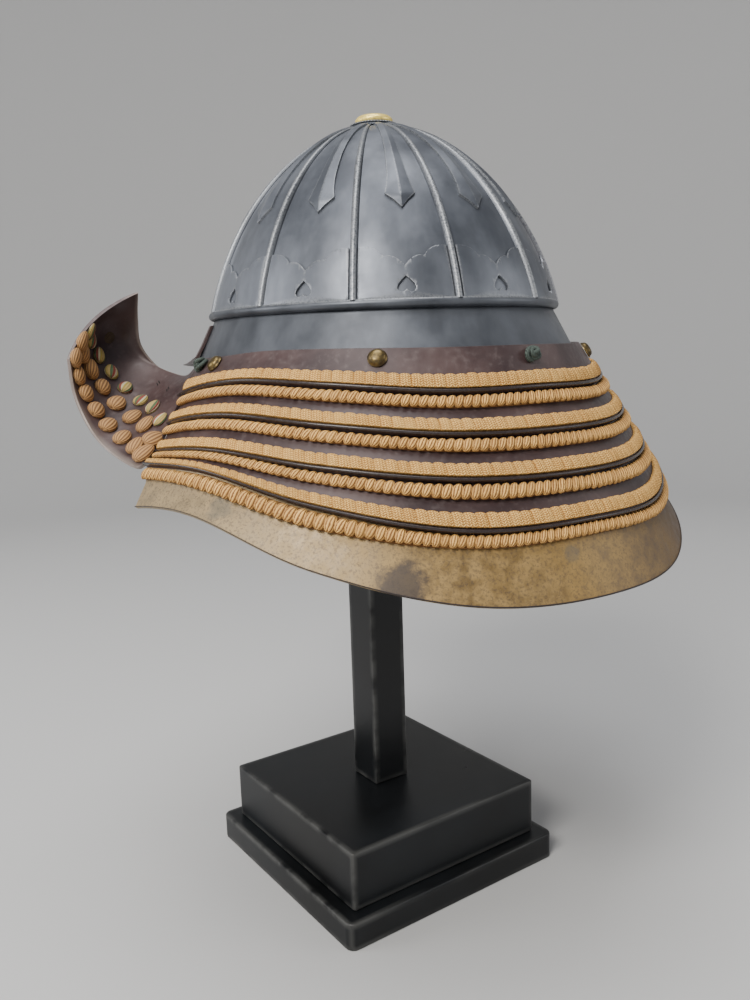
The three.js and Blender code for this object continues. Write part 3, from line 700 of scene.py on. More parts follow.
def ring_point(ring, along):
    angle = along * RING_END[ring]
    drop = sum(
        np.where(ring == k, smooth_value(DROP_TURNS, RING_DROP[k], np.abs(angle)), 0)
        for k in range(len(RING_SIDE))
    )
    return oval(RING_SIDE[ring], RING_BACK[ring], angle, -drop)


def guard_line(row, along):
    row, along = np.broadcast_arrays(np.asarray(row, float), np.asarray(along, float))
    ring = np.clip(np.floor(row), 0, len(RING_SIDE) - 2).astype(int)
    share = (row - ring)[..., None]
    return (1 - share) * ring_point(ring, along) + share * ring_point(ring + 1, along)


def lifted(place, side, under, lift):
    out = unit(np.cross(side, under))
    return place + out * np.expand_dims(np.broadcast_to(lift, out.shape[:-1]), -1)


def guard_point(row, along, lift):
    step = 0.02
    under = guard_line(row + step, along) - guard_line(row - step, along)
    beside = guard_line(row, along + step) - guard_line(row, along - step)
    return lifted(guard_line(row, along), beside, under, lift)


def face_point(lame, part, along, lift):
    """A point over a lame's open face: part 0 lies under the rim above and 1 meets its own rim."""
    foot = lame if lame == LAMES else lame - RIM_BAND

    def ends(place):
        return guard_point(lame - 1.0, place, 0.0 if lame == 1 else TUCKED), guard_point(foot, place, FACE)

    part = np.asarray(part, float)[..., None]
    (top, low), (top_beside, low_beside) = ends(along), ends(along + 0.02)
    here = top + (low - top) * part
    beside = top_beside + (low_beside - top_beside) * part - here
    return lifted(here, beside, low - top, lift)


print("neck guard", round(2 * RING_SIDE[-1] / MM), "mm across its bottom edge")

# %% [markdown]
# ## Lames
# A lame is a curved iron strip under lacquer, with its lower edge rolled into a round rim. A
# sweep along the guard makes it in one go: the section goes down the outside, round the rim
# and back up the inside.

# %% The five lames
STATIONS = np.linspace(-1, 1, 161)
HIDDEN_ROWS, HIDDEN_LIFT = 0.2, TUCKED - 0.0008
ROLL_STEPS = 9


def rolled_edge(hem, width, proud):
    """The section of a rolled rim that ends at row hem: a half round of that width in rows."""
    turns = np.linspace(0, math.pi, ROLL_STEPS)
    row = hem - width / 2 - width / 2 * np.cos(turns)
    lift = FACE + (proud - FACE) * np.sin(turns) ** 0.7
    return list(zip(row, lift))


def lame_section(lame):
    hem = lame + 1 if lame == LAMES else lame
    head = lame - 1
    inner = FACE - LAME_WALL
    width, proud = (0.03, FACE + 0.0006) if lame == LAMES else (RIM_BAND, RIM_LIFT)
    roll = rolled_edge(hem, width, proud)
    lower = [hem - width, hem - width - 0.35, head + 1.35, head + 1.0] if lame == LAMES else [hem - width]
    outer = [(row, FACE) for row in reversed(lower[1:])]
    inside = [(row, inner) for row in lower]
    if lame == 1:
        return [(0, -0.0003), (0.012, 0), *outer, *roll, (hem, inner), *inside, (0, -LAME_WALL)], roll
    head_out = [(head - HIDDEN_ROWS, HIDDEN_LIFT), (head, TUCKED)]
    head_in = [(head, TUCKED - LAME_WALL), (head - HIDDEN_ROWS, HIDDEN_LIFT - LAME_WALL)]
    return [*head_out, *outer, *roll, (hem, inner), *inside, *head_in], roll


def lame(number, reach=1.0):
    section, roll = lame_section(number)
    on_rim = [1.0 if point in roll[1:-1] else 0.0 for point in section]
    return sweep(STATIONS * reach, section, lambda along, row, lift: guard_point(row, along, lift), rim=on_rim)


# %% [markdown]
# ## The wings
# The top lame runs on past the face and turns back into a wing on each side. A wing is swept
# through six curved sections, each given by its upper end, middle and lower end. A smooth
# curve through all of them keeps the plate free of kinks.

# %% The wing's surface
WING = np.array([
    [[117, -48, -37], [138, -40, -53], [171, -6, -87]],
    [[118, -68, -36], [138, -66, -48], [176, -22, -82]],
    [[124, -86, -29], [145, -86, -36], [181, -38, -73]],
    [[130, -93, -16], [155, -92, -20], [185, -49, -60]],
    [[132, -90, 0], [163, -86, -6], [188, -56, -44]],
    [[134, -82, 17], [166, -74, 0], [189, -58, -24]],
]) * MM
WING_END = len(WING)
WING_START = 1.008
WING_HALF = 0.00095


def wing_curves(across):
    """The places on all the wing's sections at a share across it, from its upper edge."""
    row = across * (LAMES - 1)
    first = guard_point(row, WING_START, -LAME_WALL / 2 + FACE * np.minimum(row, 1))
    t = across[..., None]
    curves = [first]
    for top, middle, low in WING:
        pull = 2 * middle - (top + low) / 2
        curves.append(HELMET + (1 - t) ** 2 * top + 2 * t * (1 - t) * pull + t**2 * low)
    return np.array(curves)


def wing_line(section, across):
    section, across = np.broadcast_arrays(np.asarray(section, float), np.asarray(across, float))
    curves = wing_curves(across)
    curves = np.concatenate([[2 * curves[0] - curves[1]], curves, [2 * curves[-1] - curves[-2]]])
    i = np.clip(np.floor(section), 0, WING_END - 1).astype(int)
    t = (section - i)[..., None]
    at = np.arange(len(section))
    a, b, c, d = (curves[i + k, at] for k in range(4))
    return b + 0.5 * t * (c - a + t * (2 * a - 5 * b + 4 * c - d + t * (3 * (b - c) + d - a)))


def wing_point(section, across, lift):
    step = 0.03
    section, across = np.broadcast_arrays(np.asarray(section, float), np.asarray(across, float))
    beside = wing_line(section + step, across) - wing_line(section - step, across)
    under = wing_line(section, across + step) - wing_line(section, across - step)
    return lifted(wing_line(section, across), beside, under, lift)


def mirrored(bm):
    """A copy for the wearer's right side."""
    copy = bm.copy()
    bmesh.ops.scale(copy, verts=copy.verts, vec=(-1, 1, 1), space=Matrix.Translation(-Vector(HELMET)))
    bmesh.ops.recalc_face_normals(copy, faces=copy.faces)
    return copy


WING_COLUMNS = 30
ACROSS = np.linspace(0, 1, WING_COLUMNS + 1)
front = [(share, WING_HALF) for share in ACROSS]
behind = [(share, -WING_HALF) for share in ACROSS[::-1]]
section = [*front, (1.004, 0), *behind, (-0.004, 0)]
# The wing's upper and lower edges are marked so that the lacquer paints them pale, a painted highlight.
edge = [1.0 if share < 0.001 or share > 0.999 else 0.0 for share, _ in section]
wing = sweep(np.linspace(0, WING_END, 97), section, wing_point, edge=edge)
top_lame = bands([lame(1, 1.03), mirrored(wing), wing])
make_piece("top_lame_and_wings", top_lame, BROWN_LACQUER, ["lame_1_with_wings"], 35)
for number in range(2, LAMES):
    make_piece(f"guard_lame_{number}", lame(number), BROWN_LACQUER, [f"lame_{number}"], 35)
print("four lacquered lames, the top one with its wings")

# %% [markdown]
# ## Worn gold
# The bottom lame was gilded over brown lacquer. The gold is rubbed thin in places, with a bare
# patch, a few grey-blue stains and a dark line along its edge. It is painted darker towards
# the right as painted shade, and paler on the left as painted light.

# %% The bottom lame
gold = Finish("worn_gold_lacquer", metallic=0.35)
cloud = gold.noise(16, detail=6)
rub = gold.noise(120, detail=6, rough=0.7)
grit = gold.noise(700, detail=3, rough=0.7)
side, depth, height = gold.split(gold.space())
base = gold.blend(gold.spread(rub, 0.3, 0.7), (0.15, 0.095, 0.035), (0.33, 0.215, 0.08))
base = gold.blend(gold.math("MULTIPLY", gold.spread(cloud, 0.45, 0.7), 0.5), base, (0.30, 0.18, 0.045))
# The gold is painted darker towards the right, a painted shade, and paler on the left, a painted light.
to_right = gold.math("ADD", side, gold.math("MULTIPLY", cloud, 0.06))
base = gold.blend(gold.math("MULTIPLY", gold.spread(to_right, 0.05, -0.10), 0.9), base, (0.080, 0.050, 0.032))
painted_light_left = gold.spread(to_right, 0.1, 0.19)
base = gold.blend(gold.math("MULTIPLY", painted_light_left, 0.6), base, (0.30, 0.24, 0.15))
bare = gold.math("MULTIPLY", gold.spread(grit, 0.5, 0.62), 0.5)
base = gold.blend(bare, base, (0.07, 0.052, 0.04))


def stain(finish, centre, size, source):
    """A ragged spot: 1 at its centre and 0 past its size."""
    offset = finish.nodes.new("ShaderNodeVectorMath")
    offset.operation = "DISTANCE"
    finish.links.new(finish.space(), offset.inputs[0])
    offset.inputs[1].default_value = centre
    ragged = finish.math("ADD", offset.outputs["Value"], finish.math("MULTIPLY", source, size * 1.6))
    return finish.spread(ragged, size * 2.2, size * 1.5)


def on_skirt(angle, part):
    """A place on the bottom lame's skirt, at an angle from the back."""
    along = np.array([angle / RING_END[-1]])
    return tuple(guard_point(5 + part, along, FACE)[0])


patch = stain(gold, on_skirt(36, 0.75), 0.011, rub)
base = gold.blend(gold.math("MULTIPLY", patch, 0.85), base, (0.050, 0.040, 0.036))
for angle, part, size in ((66, 0.25, 0.006), (7, 0.2, 0.004)):
    spot = stain(gold, on_skirt(angle, part), size, rub)
    base = gold.blend(gold.math("MULTIPLY", spot, 0.35), base, (0.075, 0.085, 0.082))
base = gold.blend(gold.attribute("rim"), base, (0.03, 0.022, 0.02))
gold.relief((cloud, 0.8, 0.3), (grit, 0.10, 0.4))
WORN_GOLD = gold.done(base, gold.spread(rub, 0.3, 0.7, 0.42, 0.62))
make_piece("guard_lame_5", lame(LAMES), WORN_GOLD, ["lame_5"], 35)

# %% [markdown]
# ## Silk lacing
# The lames are tied with braided silk. Flat cords lie side by side over each lame's lower
# face, and a rope of slanting strands lies under the rim above. The braid's threads are far
# too fine for a mesh, so the cords get their own UV maps and the threads are bump on them.

# %% Silk finishes
def silk(name, pale, deep, chevrons):
    """Braided silk. The UV map counts cords across and cord widths along. Threads run in
    chevrons where chevrons is above 0, and along the cord where it is 0."""
    cord = Finish(name, roughness=0.75)
    fuzz = cord.noise(1100, detail=3, rough=0.7)
    across, along, _ = cord.split(cord.space(source="UV"))
    bend = cord.math("MULTIPLY", cord.math("SUBTRACT", fuzz, 0.5), 0.7)
    if chevrons:
        column = cord.math("MULTIPLY", across, chevrons)
        lean = cord.math("PINGPONG", column, 1.0)
        plait = cord.math("ADD", cord.math("ADD", cord.math("MULTIPLY", along, chevrons), lean), bend)
        valley = cord.math("MULTIPLY", cord.math("PINGPONG", column, 0.5), 2.0)
        strand = cord.math("MULTIPLY", cord.math("PINGPONG", plait, 0.5), 2.0)
        braid = cord.math("MULTIPLY", strand, cord.math("POWER", valley, 0.35))
    else:
        plait = cord.math("ADD", cord.math("MULTIPLY", across, 20), cord.math("MULTIPLY", along, 4))
        braid = cord.math("PINGPONG", cord.math("ADD", plait, bend), 1.0)
    blotch = cord.noise(70, detail=4)
    mixed = cord.math("ADD", cord.math("MULTIPLY", braid, 0.5), cord.math("MULTIPLY", fuzz, 0.5))
    color = cord.blend(cord.spread(mixed, 0.34, 0.64), deep, pale)
    dull = tuple(0.6 * a + 0.3 * b for a, b in zip(pale, deep))
    color = cord.blend(cord.math("MULTIPLY", cord.spread(blotch, 0.48, 0.75), 0.5), color, dull)
    # The shade attribute darkens the silk towards its deep colour. It carries a random tint, and painted shade at
    # the edges of cords and strands and on the rope's core.
    color = cord.blend(cord.math("MULTIPLY", cord.attribute("shade"), 0.6), color, deep)
    cord.relief((braid, 0.45, 0.8), (fuzz, 0.2, 0.6))
    return cord.done(color)


STRAW_SILK = silk("straw_silk", (0.98, 0.62, 0.19), (0.34, 0.15, 0.025), 4)
TAN_SILK = silk("tan_silk", (0.90, 0.52, 0.145), (0.17, 0.065, 0.013), 0)


# %% Rows of flat cords
CORD_WIDE = 0.0060
CORD_COLUMNS = 12
FLAT_SECTION = [(0.975, 0), (0.975, 1.9), (0.92, 2.3), (0.86, 2.45), (0.80, 2.5), (0.74, 2.4), (0.69, 2.1),
                (0.66, 1.6), (0.645, 0.9), (0.64, 0)]


def row_lengths(lame, part, stations):
    """How far along the row each station is, in metres."""
    line = face_point(lame, np.full(len(stations), part), stations, 0.002)
    steps = np.linalg.norm(np.diff(line, axis=0), axis=1)
    return np.concatenate([[0], np.cumsum(steps)])


def flat_lacing(lame):
    fine = np.linspace(-1, 1, 401)
    length = row_lengths(lame, 0.8, fine)
    cords = round(length[-1] / CORD_WIDE)
    size = len(FLAT_SECTION)
    stations = np.interp(np.linspace(0, length[-1], cords * CORD_COLUMNS + 1), length, fine)
    bm, column, row = flat_grid(len(stations) - 1, size)
    part, proud = np.array(FLAT_SECTION).T
    part, proud = part[row % size], proud[row % size] * MM
    count = column / CORD_COLUMNS
    cord = np.minimum(np.floor(count), cords - 1).astype(int)
    beside = 2 * (count - cord) - 1
    groove = np.abs(beside) ** 4 * (0.35 + 0.5 * rng.random(cords)[cord] ** 2)
    puff = 1 + 0.14 * (rng.random(cords)[cord] - 0.5)
    ribs = 0.06 * np.cos(4 * math.pi * beside)
    ends = np.clip(np.minimum(count, cords - count) / 0.5, 0, 1) ** 0.5
    top = np.clip((0.76 - part) / 0.1, 0, 1)
    part = part + top * (0.028 * np.abs(beside) ** 3 + 0.02 * (rng.random(cords)[cord] - 0.5))
    lift = 0.0002 + proud * (puff * (1 - 0.5 * groove) + ribs) * ends
    move_to(bm, face_point(lame, part, stations[column], lift))
    tint = rng.random(cords) ** 2
    # Each cord gets a random tint, and its edges are painted darker: painted shade in the creases between
    # neighbouring cords.
    set_values(bm, "shade", tint[cord] * 0.4 + 1.1 * groove)
    drop = 0.028 * (1 - part) / CORD_WIDE
    set_uv(bm, count, drop)
    close_shell(bm)
    return bm, cords


for number in range(1, LAMES):
    row, cords = flat_lacing(number)
    make_piece(f"flat_silk_{number}", row, STRAW_SILK, [f"flat_lacing_{number}"], 60)
    print("flat row", number, "has", cords, "cords")

# %% [markdown]
# ## Rope lacing
# A rope row is a line of plump strands, each leaning over the next. One strand is a sphere
# drawn out and tapered, and it is copied along the row, smaller where the row narrows. A
# plain core behind them fills the gaps, painted in the silk's deep colour as painted shade.

# %% Rows of slanting strands
STRAND_PITCH, STRAND_HALF, STRAND_WIDE, STRAND_DEEP = 0.0052, 0.0056, 0.0030, 0.0027
STRAND_LEAN = math.radians(-40)
ROPE_LIFT = 0.0022
ROPE_RISE = 0.12
ROPE_PARTS = {LAMES: (0.14, 0.98)}
USUAL_PARTS = (0.13, 0.53)


def strand(bm, place, side, down, out, size, shade, lean):
    """Adds one strand: plump at its lower end, drawn in at its upper end, and leaning."""
    made = bmesh.ops.create_uvsphere(bm, u_segments=10, v_segments=8, radius=1, calc_uvs=True)
    layer = bm.verts.layers.float["shade"]
    turn = Matrix.Rotation(lean, 3, "Z")
    basis = Matrix((side, down, out)).transposed()
    for vert in made["verts"]:
        x, y, z = vert.co
        # Each strand gets a random tone, and its sides and ends are painted darker: painted shade where the strands
        # meet.
        vert[layer] = 0.5 * shade + 1.3 * abs(x) ** 3 + 0.4 * abs(z) ** 8
        plump = (1 - 0.1 * z) * (1 - 0.1 * z**2)
        flat = Vector((x * STRAND_WIDE * plump, -z * STRAND_HALF, y * STRAND_DEEP * plump - 0.0006 * z))
        vert.co = Vector(place) + basis @ (turn @ (flat * size))


def rope_lacing(lame):
    high, low = ROPE_PARTS.get(lame, USUAL_PARTS)
    middle = (high + low) / 2 - ROPE_RISE
    bm = bmesh.new()
    bm.verts.layers.float.new("shade")
    bm.loops.layers.uv.new("UVMap")
    ends = face_point(lame, np.array([high, low] * 81), np.repeat(np.linspace(-1, 1, 81), 2), 0.002)
    tall = np.linalg.norm(ends[0::2] - ends[1::2], axis=1)
    stations = np.linspace(-1, 1, 801)
    length = row_lengths(lame, middle, stations)
    distance, count = STRAND_PITCH * 0.3, 0
    while distance < length[-1] - STRAND_PITCH * 0.3:
        along = float(np.interp(distance, length, stations))
        size = float(np.clip(np.interp(along, np.linspace(-1, 1, 81), tall) / 0.0104, 0.82, 1.15))
        places = face_point(
            lame, np.array([middle, middle, middle + 0.05]), np.array([along, along + 0.01, along]), ROPE_LIFT * size
        )
        side = Vector(places[1] - places[0]).normalized()
        down = Vector(places[2] - places[0]).normalized()
        out = side.cross(down)
        wobble = rng.random(3) - 0.5
        lean = STRAND_LEAN + 0.16 * wobble[0]
        strand(bm, places[0], side, down, out, size * (1 + 0.08 * wobble[1]), 0.5 + wobble[2], lean)
        distance += STRAND_PITCH * size
        count += 1
    return bm, count


def rope_core(lame):
    high, low = ROPE_PARTS.get(lame, USUAL_PARTS)
    high, low = high - ROPE_RISE, low - ROPE_RISE
    section = [(high + 0.06, 0.0002), (low - 0.06, 0.0002), (low - 0.1, 0.0012), (high + 0.1, 0.0012)]
    place = lambda along, part, lift: face_point(lame, part, along, lift)
    # The core is marked fully shaded, so it is painted in the silk's deep colour: painted shade in the gaps between
    # strands.
    return sweep(np.linspace(-0.998, 0.998, 161), section, place, shade=[1.0] * 4)


for number in range(2, LAMES + 1):
    strands, count = rope_lacing(number)
    rope = bands([strands, rope_core(number)])
    make_piece(f"silk_rope_{number - 1}", rope, TAN_SILK, [f"rope_lacing_{number - 1}"], 60)
    print("rope row", number - 1, "has", count, "strands")

# %% [markdown]
# ## Fittings on the wings
# Each wing wears three rows of small silk tufts, in two tans and in mixed colours, a faint
# round mark in the lacquer, and two pairs of slits with a few threads left in them. Each slit
# is a near-black blob, painted shade for its opening, with its thread.

# %% Silk of the tufts
def tuft_silk():
    """Threads along a tuft. One attribute picks the colour: 0 is tan, and 0.5 to 1 are dyes.
    Below -0.3 it gives the lacquer mark's brown, and below -0.8 the near-black painted shade of the slits.
    """
    tuft = Finish("tuft_silk", roughness=0.8)
    across, along, _ = tuft.split(tuft.space(source="UV"))
    thread = tuft.math("PINGPONG", tuft.math("MULTIPLY", across, 30), 1.0)
    fuzz = tuft.noise(1300, detail=2)
    tan = tuft.blend(tuft.math("MULTIPLY", thread, 0.8), (0.13, 0.055, 0.018), (0.66, 0.36, 0.125))
    ramp = tuft.nodes.new("ShaderNodeValToRGB")
    ramp.color_ramp.interpolation = "CONSTANT"
    dyes = [(0.0, (0.42, 0.30, 0.10)), (0.3, (0.06, 0.12, 0.05)), (0.5, (0.22, 0.035, 0.025)),
            (0.7, (0.50, 0.44, 0.28)), (0.86, (0.36, 0.28, 0.05))]
    while len(ramp.color_ramp.elements) < len(dyes):
        ramp.color_ramp.elements.new(0.5)
    for element, (place, color) in zip(ramp.color_ramp.elements, dyes):
        element.position = place
        element.color = (*color, 1)
    dye_and_shade = tuft.attribute("dye_and_shade")
    stripe = tuft.math("FRACT", tuft.math("ADD", tuft.math("MULTIPLY", across, 3.0), dye_and_shade))
    tuft.links.new(stripe, ramp.inputs[0])
    color = tuft.blend(tuft.math("GREATER_THAN", dye_and_shade, 0.01), tan, ramp.outputs[0])
    color = tuft.blend(tuft.math("MULTIPLY", fuzz, 0.35), color, (0.12, 0.08, 0.05))
    color = tuft.blend(tuft.math("LESS_THAN", dye_and_shade, -0.3), color, (0.055, 0.035, 0.018))
    # Below -0.8 the colour is near black: painted shade for the slits' openings.
    color = tuft.blend(tuft.math("LESS_THAN", dye_and_shade, -0.8), color, (0.004, 0.003, 0.003))
    tuft.relief((thread, 0.35, 0.8), (fuzz, 0.15, 0.5))
    return tuft.done(color)


TUFT_SILK = tuft_silk()

# %% Tufts, marks and slits
TUFTS = 8
TUFT_ROWS = [(0.90, 0.6, 5.7, False), (0.75, 0.5, 5.8, False), (0.60, 0.6, 5.6, True)]
TUFT_LONG, TUFT_WIDE, TUFT_DEEP = 0.0070, 0.0058, 0.0034


def frame_on_wing(section, across):
    """A place on the wing's outer face, with its two directions and the way out."""
    step = 0.05
    place, beside, under = wing_point(
        np.array([section, section + step, section]), np.array([across, across, across + step]), WING_HALF
    )
    side = Vector(beside - place).normalized()
    down = Vector(under - place).normalized()
    out = side.cross(down).normalized()
    return Vector(place), side, out.cross(side), out


def blob(bm, section, across, turn, size, dye_and_shade):
    """An egg of silk set on the wing, its threads running along it."""
    place, side, down, out = frame_on_wing(section, across)
    made = bmesh.ops.create_uvsphere(bm, u_segments=14, v_segments=10, radius=1, calc_uvs=True)
    basis = Matrix((side, down, out)).transposed()
    lean = Matrix.Rotation(turn, 3, "Z")
    layer = bm.verts.layers.float["dye_and_shade"]
    for vert in made["verts"]:
        vert[layer] = dye_and_shade
        x, y, z = vert.co
        wide = TUFT_WIDE * (1 - 0.18 * z)
        deep = TUFT_DEEP * (1 - 0.25 * z)
        vert.co = place + basis @ (lean @ (Vector((x * wide, -z * TUFT_LONG, y * deep + 0.0012)) * size))


SLITS = [(1.9, 0.33), (1.2, 0.36)]
MARK_PLACE = (4.3, 0.36)
SLIT_SHADE_AND_THREAD, MARK_DYE = -1.0, -0.5


def slit(bm, section, across):
    """A short slit with a thread left in it, made as a near-black blob: painted shade for the slit's opening, with
    the thread.
    """
    place, side, down, out = frame_on_wing(section, across)
    made = bmesh.ops.create_uvsphere(bm, u_segments=8, v_segments=6, radius=1, calc_uvs=True)
    basis = Matrix((side, down, out)).transposed()
    layer = bm.verts.layers.float["dye_and_shade"]
    for vert in made["verts"]:
        vert[layer] = SLIT_SHADE_AND_THREAD
        x, y, z = vert.co
        vert.co = place + basis @ Vector((z * 0.0024, y * 0.0004 - z * 0.0008, x * 0.0004))


def place_mark(bm):
    """A faint oval left in the lacquer."""
    place, side, down, out = frame_on_wing(*MARK_PLACE)
    made = bmesh.ops.create_uvsphere(bm, u_segments=24, v_segments=12, radius=1, calc_uvs=True)
    basis = Matrix((side, down, out)).transposed()
    layer = bm.verts.layers.float["dye_and_shade"]
    for vert in made["verts"]:
        vert[layer] = MARK_DYE
        x, y, z = vert.co
        vert.co = place + basis @ Vector((x * 0.0042, z * 0.0062, y * 0.0006))


left = bmesh.new()
left.verts.layers.float.new("dye_and_shade")
left.loops.layers.uv.new("UVMap")
for across, first, last, dyed in TUFT_ROWS:
    for k in range(TUFTS):
        section = first + (last - first) * k / (TUFTS - 1)
        wobble = rng.random(3) - 0.5
        dye_and_shade = 0.3 + 0.7 * rng.random() if dyed else 0.0
        size = (0.82 if dyed else 1) + 0.12 * wobble[1]
        blob(left, section, across, 0.5 + 0.3 * wobble[0], size, dye_and_shade)
for section, across in SLITS:
    for nudge in (-0.018, 0.018):
        slit(left, section, across + nudge)
place_mark(left)
right = mirrored(left)
make_piece("wing_tufts_left", left, TUFT_SILK, ["wing_lacing_left"], 60)
make_piece("wing_tufts_right", right, TUFT_SILK, ["wing_lacing_right"], 60)
print(2 * TUFTS * len(TUFT_ROWS), "tufts")

# %% [markdown]
# ## Rivets and cord knots
# Domed brass rivets hold the neck guard to the waistband. Between them, small cords come out
# through the band and are tied in round knots.

# %% Rivets
brass = Finish("dark_brass", metallic=0.85)
tarnish = brass.noise(330, detail=5)
color = brass.blend(brass.spread(tarnish, 0.35, 0.7), (0.17, 0.12, 0.045), (0.06, 0.045, 0.025))
brass.relief((tarnish, 0.1, 0.3))
DARK_BRASS = brass.done(color, brass.spread(tarnish, 0.3, 0.7, 0.3, 0.5))
RIVET_ANGLES = (-88, -40, 40, 88)
RIVET_PART = 0.28
RIVET_PROFILE = [(0, 0), (0.0053, 0), (0.0053, 0.0007), (0.0048, 0.0012), (0.0046, 0.0019), (0.0040, 0.0027),
                 (0.0030, 0.0033), (0.0016, 0.0036), (0, 0.0037)]


def set_on_band(bm, angle, part):
    """Moves a fitting made about the Z axis to the neck guard's top band."""
    along = angle / RING_END[0]
    here, beside, under = face_point(
        1, np.array([part, part, part + 0.05]), np.array([along, along + 0.01, along]), 0.0003
    )
    side = Vector(beside - here).normalized()
    out = side.cross(Vector(under - here)).normalized()
    basis = Matrix((side, out.cross(side), out)).transposed().to_4x4()
    basis.translation = Vector(here)
    bmesh.ops.transform(bm, matrix=basis, verts=bm.verts)
    bmesh.ops.recalc_face_normals(bm, faces=bm.faces)


for i, angle in enumerate(RIVET_ANGLES):
    rivet = turned(RIVET_PROFILE, 40)
    set_on_band(rivet, angle, RIVET_PART)
    make_piece(f"domed_rivet_{i + 1}", rivet, DARK_BRASS, [f"band_rivet_{i + 1}"], 30)

# %% Knots of thin green cord
CORD_RADIUS = 0.0013
KNOT_ANGLES = (-96, 0, 96)
KNOT_PART = 0.26
KNOT_LOOPS = [
    # radius, x, y, height, tilt in degrees
    (0.0034, -0.0014, 0.0, 0.0012, 18),
    (0.0031, 0.0016, 0.0008, 0.0018, -24),
    (0.0026, 0.0, -0.0010, 0.0030, 40),
    (0.0018, 0.0004, 0.0004, 0.0036, -8),
]


def cord_loop(radius, x, y, height, tilt):
    lean = Matrix.Rotation(math.radians(tilt), 3, "X") @ Matrix.Rotation(math.radians(tilt / 2), 3, "Y")
    around = round_section(CORD_RADIUS, 10)

    def place(turn, out, up):
        turn = np.radians(turn)
        ring = np.stack([(radius + out) * np.cos(turn), (radius + out) * np.sin(turn), up], axis=-1)
        return ring @ np.array(lean).T + (x, y, height)

    bm = sweep(np.linspace(0, 360, 37), around, place)
    bm.verts.index_update()
    return bm


thread = Finish("green_cord", roughness=0.8)
fuzz = thread.noise(1500, detail=2)
twist = thread.nodes.new("ShaderNodeTexWave")
twist.inputs["Scale"].default_value = 480
twist.inputs["Distortion"].default_value = 3
thread.links.new(thread.space((1, 0.6, 1)), twist.inputs["Vector"])
shade = thread.math("MULTIPLY", thread.math("ADD", fuzz, twist.outputs["Fac"]), 0.5)
color = thread.blend(thread.spread(shade, 0.2, 0.8), (0.012, 0.018, 0.015), (0.06, 0.085, 0.07))
thread.relief((shade, 0.25, 0.7))
GREEN_CORD = thread.done(color)
for i, angle in enumerate(KNOT_ANGLES):
    knot = bands([cord_loop(*loop) for loop in KNOT_LOOPS])
    set_on_band(knot, angle, KNOT_PART)
    make_piece(f"tied_cord_{i + 1}", knot, GREEN_CORD, [f"cord_knot_{i + 1}"], 60)
print("rivets and knots")

# %% [markdown]
# ## The stand
# The stand is a plinth, a post and a block of black lacquered wood, with a pad inside the
# bowl. Its edges are a little rounded and rubbed to grey.

# %% Black lacquered wood
def wood_finish():
    wood = Finish("black_lacquered_wood")
    wood.shader.inputs["Specular IOR Level"].default_value = 0.3
    clouds = wood.noise(9, detail=5)
    scratch = wood.noise(40, detail=3, vector=wood.space((0.2, 1.6, 1)))
    grain = wood.noise(1200, detail=2)
    tone = wood.math("ADD", wood.math("MULTIPLY", clouds, 0.9), wood.math("MULTIPLY", scratch, 0.1))
    color = wood.blend(wood.spread(tone, 0.35, 0.75), (0.0020, 0.0022, 0.0025), (0.009, 0.0105, 0.0125))
    worn = wood.math("MULTIPLY", wood.attribute("edge"), wood.spread(scratch, 0.35, 0.6), clamp=True)
    color = wood.blend(wood.math("MULTIPLY", worn, 0.5), color, (0.12, 0.12, 0.115))
    wood.relief((clouds, 0.5, 0.2), (grain, 0.04, 0.2))
    return wood.done(color, wood.spread(clouds, 0.25, 0.75, 0.26, 0.42))


BLACK_WOOD = wood_finish()


WEAR_REACH = 0.004


def eased_box(node, ease, name, upright_ease=None):
    """A box the size of a construction node, with rounded edges that carry the wear."""
    low, high = (Vector(c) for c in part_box(node))
    bm = bmesh.new()
    bmesh.ops.create_cube(bm, size=1)
    size = high - low
    bmesh.ops.scale(bm, vec=size, verts=bm.verts)
    bmesh.ops.translate(bm, vec=(low + high) / 2, verts=bm.verts)
    if upright_ease:
        upright = [e for e in bm.edges if abs((e.verts[0].co - e.verts[1].co).normalized().z) > 0.9]
        bmesh.ops.bevel(bm, geom=upright, offset=upright_ease, affect="EDGES", segments=8, profile=0.5)
    rim = [e for e in bm.edges if e.calc_face_angle(0) > math.radians(30)]
    bmesh.ops.bevel(bm, geom=rim, offset=ease, affect="EDGES", segments=3, profile=0.5)
    for axis in range(3):
        plane = [float(k == axis) for k in range(3)]
        for cut in (low[axis] + WEAR_REACH, high[axis] - WEAR_REACH):
            geometry = [*bm.verts, *bm.edges, *bm.faces]
            bmesh.ops.bisect_plane(bm, geom=geometry, plane_co=[cut * k for k in plane], plane_no=plane)
    places = np.array([v.co for v in bm.verts])
    depth = np.sort(np.minimum(places - np.array(low), np.array(high) - places), axis=1)[:, 1]
    set_values(bm, "edge", np.clip(1 - depth / WEAR_REACH, 0, 1))
    return make_piece(name, bm, BLACK_WOOD, [node], 50)


eased_box("stand_plinth", 0.0012, "display_plinth", 0.006)
eased_box("stand_post", 0.0008, "display_post")
eased_box("stand_block", 0.0012, "display_block", 0.002)
low, high = (Vector(c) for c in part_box("stand_pad"))
pad_radius, pad_middle = (high.x - low.x) / 2, (low + high) / 2
pad = turned([(0, low.z), (pad_radius - 0.001, low.z), (pad_radius, low.z + 0.001), (pad_radius, low.z + 0.012),
              (pad_radius * 0.9, high.z - 0.003), (pad_radius * 0.55, high.z), (0, high.z)], 48)
bmesh.ops.translate(pad, verts=pad.verts, vec=(pad_middle.x, pad_middle.y, 0))
set_values(pad, "edge", [0.0] * len(pad.verts))
make_piece("display_pad", pad, BLACK_WOOD, ["stand_pad"], 40)
print("stand")

# %% [markdown]
# ## Floor, light and camera
# A pale floor curves up behind the helmet on all sides. A large soft lamp above and to the
# front gives the rounded rims their highlight, and two weaker ones fill the shadows.

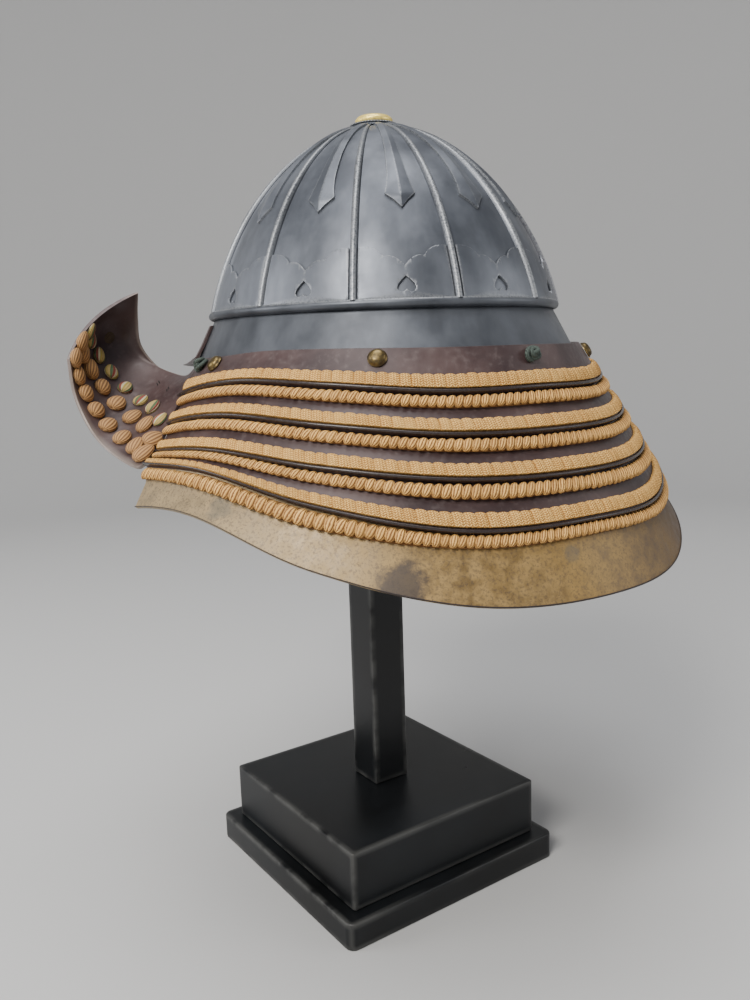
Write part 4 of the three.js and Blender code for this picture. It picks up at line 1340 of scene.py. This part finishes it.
# %% Floor
FLOOR_RADIUS, WALL_RADIUS, WALL_TOP = 1.6, 2.6, 2.4
curve = [(0, 0), (FLOOR_RADIUS, 0)]
curve += [
    (FLOOR_RADIUS + (WALL_RADIUS - FLOOR_RADIUS) * math.sin(a), (WALL_RADIUS - FLOOR_RADIUS) * (1 - math.cos(a)))
    for a in np.linspace(0.1, math.pi / 2, 15)
]
floor_mesh = turned([*curve, (WALL_RADIUS, WALL_TOP)], 96)
mesh = bpy.data.meshes.new("studio_floor")
floor_mesh.to_mesh(mesh)
floor_mesh.free()
floor = bpy.data.objects.new("studio_floor", mesh)
bpy.context.scene.collection.objects.link(floor)
mesh.shade_smooth()
paper = Finish("pale_paper", roughness=0.9)
mesh.materials.append(paper.done((0.50, 0.50, 0.50)))

# %% Light
AIM = Vector((HELMET[0], HELMET[1], 0.36))


def soft_lamp(name, place, size, power, color=(1, 1, 1)):
    lamp = bpy.data.lights.new(name, "AREA")
    lamp.size = size
    lamp.energy = power
    lamp.color = color
    holder = bpy.data.objects.new(name, lamp)
    holder.location = place
    holder.rotation_euler = (AIM - Vector(place)).to_track_quat("-Z", "Y").to_euler()
    bpy.context.scene.collection.objects.link(holder)


soft_lamp("key_lamp", (1.5, 0.75, 1.6), 0.8, 52, (1, 0.97, 0.92))
soft_lamp("left_lamp", (1.5, -0.7, 0.8), 0.8, 12)
soft_lamp("right_lamp", (-1.3, 1.3, 0.9), 1.0, 7)
soft_lamp("top_lamp", (0.2, 0.1, 2.3), 1.2, 30)
world = bpy.data.worlds.new("studio")
bpy.context.scene.world = world
world.use_nodes = True
world.node_tree.nodes["Background"].inputs["Color"].default_value = (0.9, 0.93, 1, 1)
world.node_tree.nodes["Background"].inputs["Strength"].default_value = 0.25

# %% Camera
CAMERA = Vector((0.343, 0.493, 0.356))
FORWARD = Vector((-0.5657, -0.8079, -0.1652)).normalized()
ROLL = 0.032
camera = bpy.data.cameras.new("camera")
camera.lens = 32.05
holder = bpy.data.objects.new("camera", camera)
across = FORWARD.cross(Vector((0, 0, 1))).normalized()
over = across.cross(FORWARD)
right = across * math.cos(ROLL) - over * math.sin(ROLL)
up = across * math.sin(ROLL) + over * math.cos(ROLL)
holder.matrix_world = Matrix((right, up, -FORWARD)).transposed().to_4x4()
holder.location = CAMERA
bpy.context.scene.collection.objects.link(holder)
bpy.context.scene.camera = holder
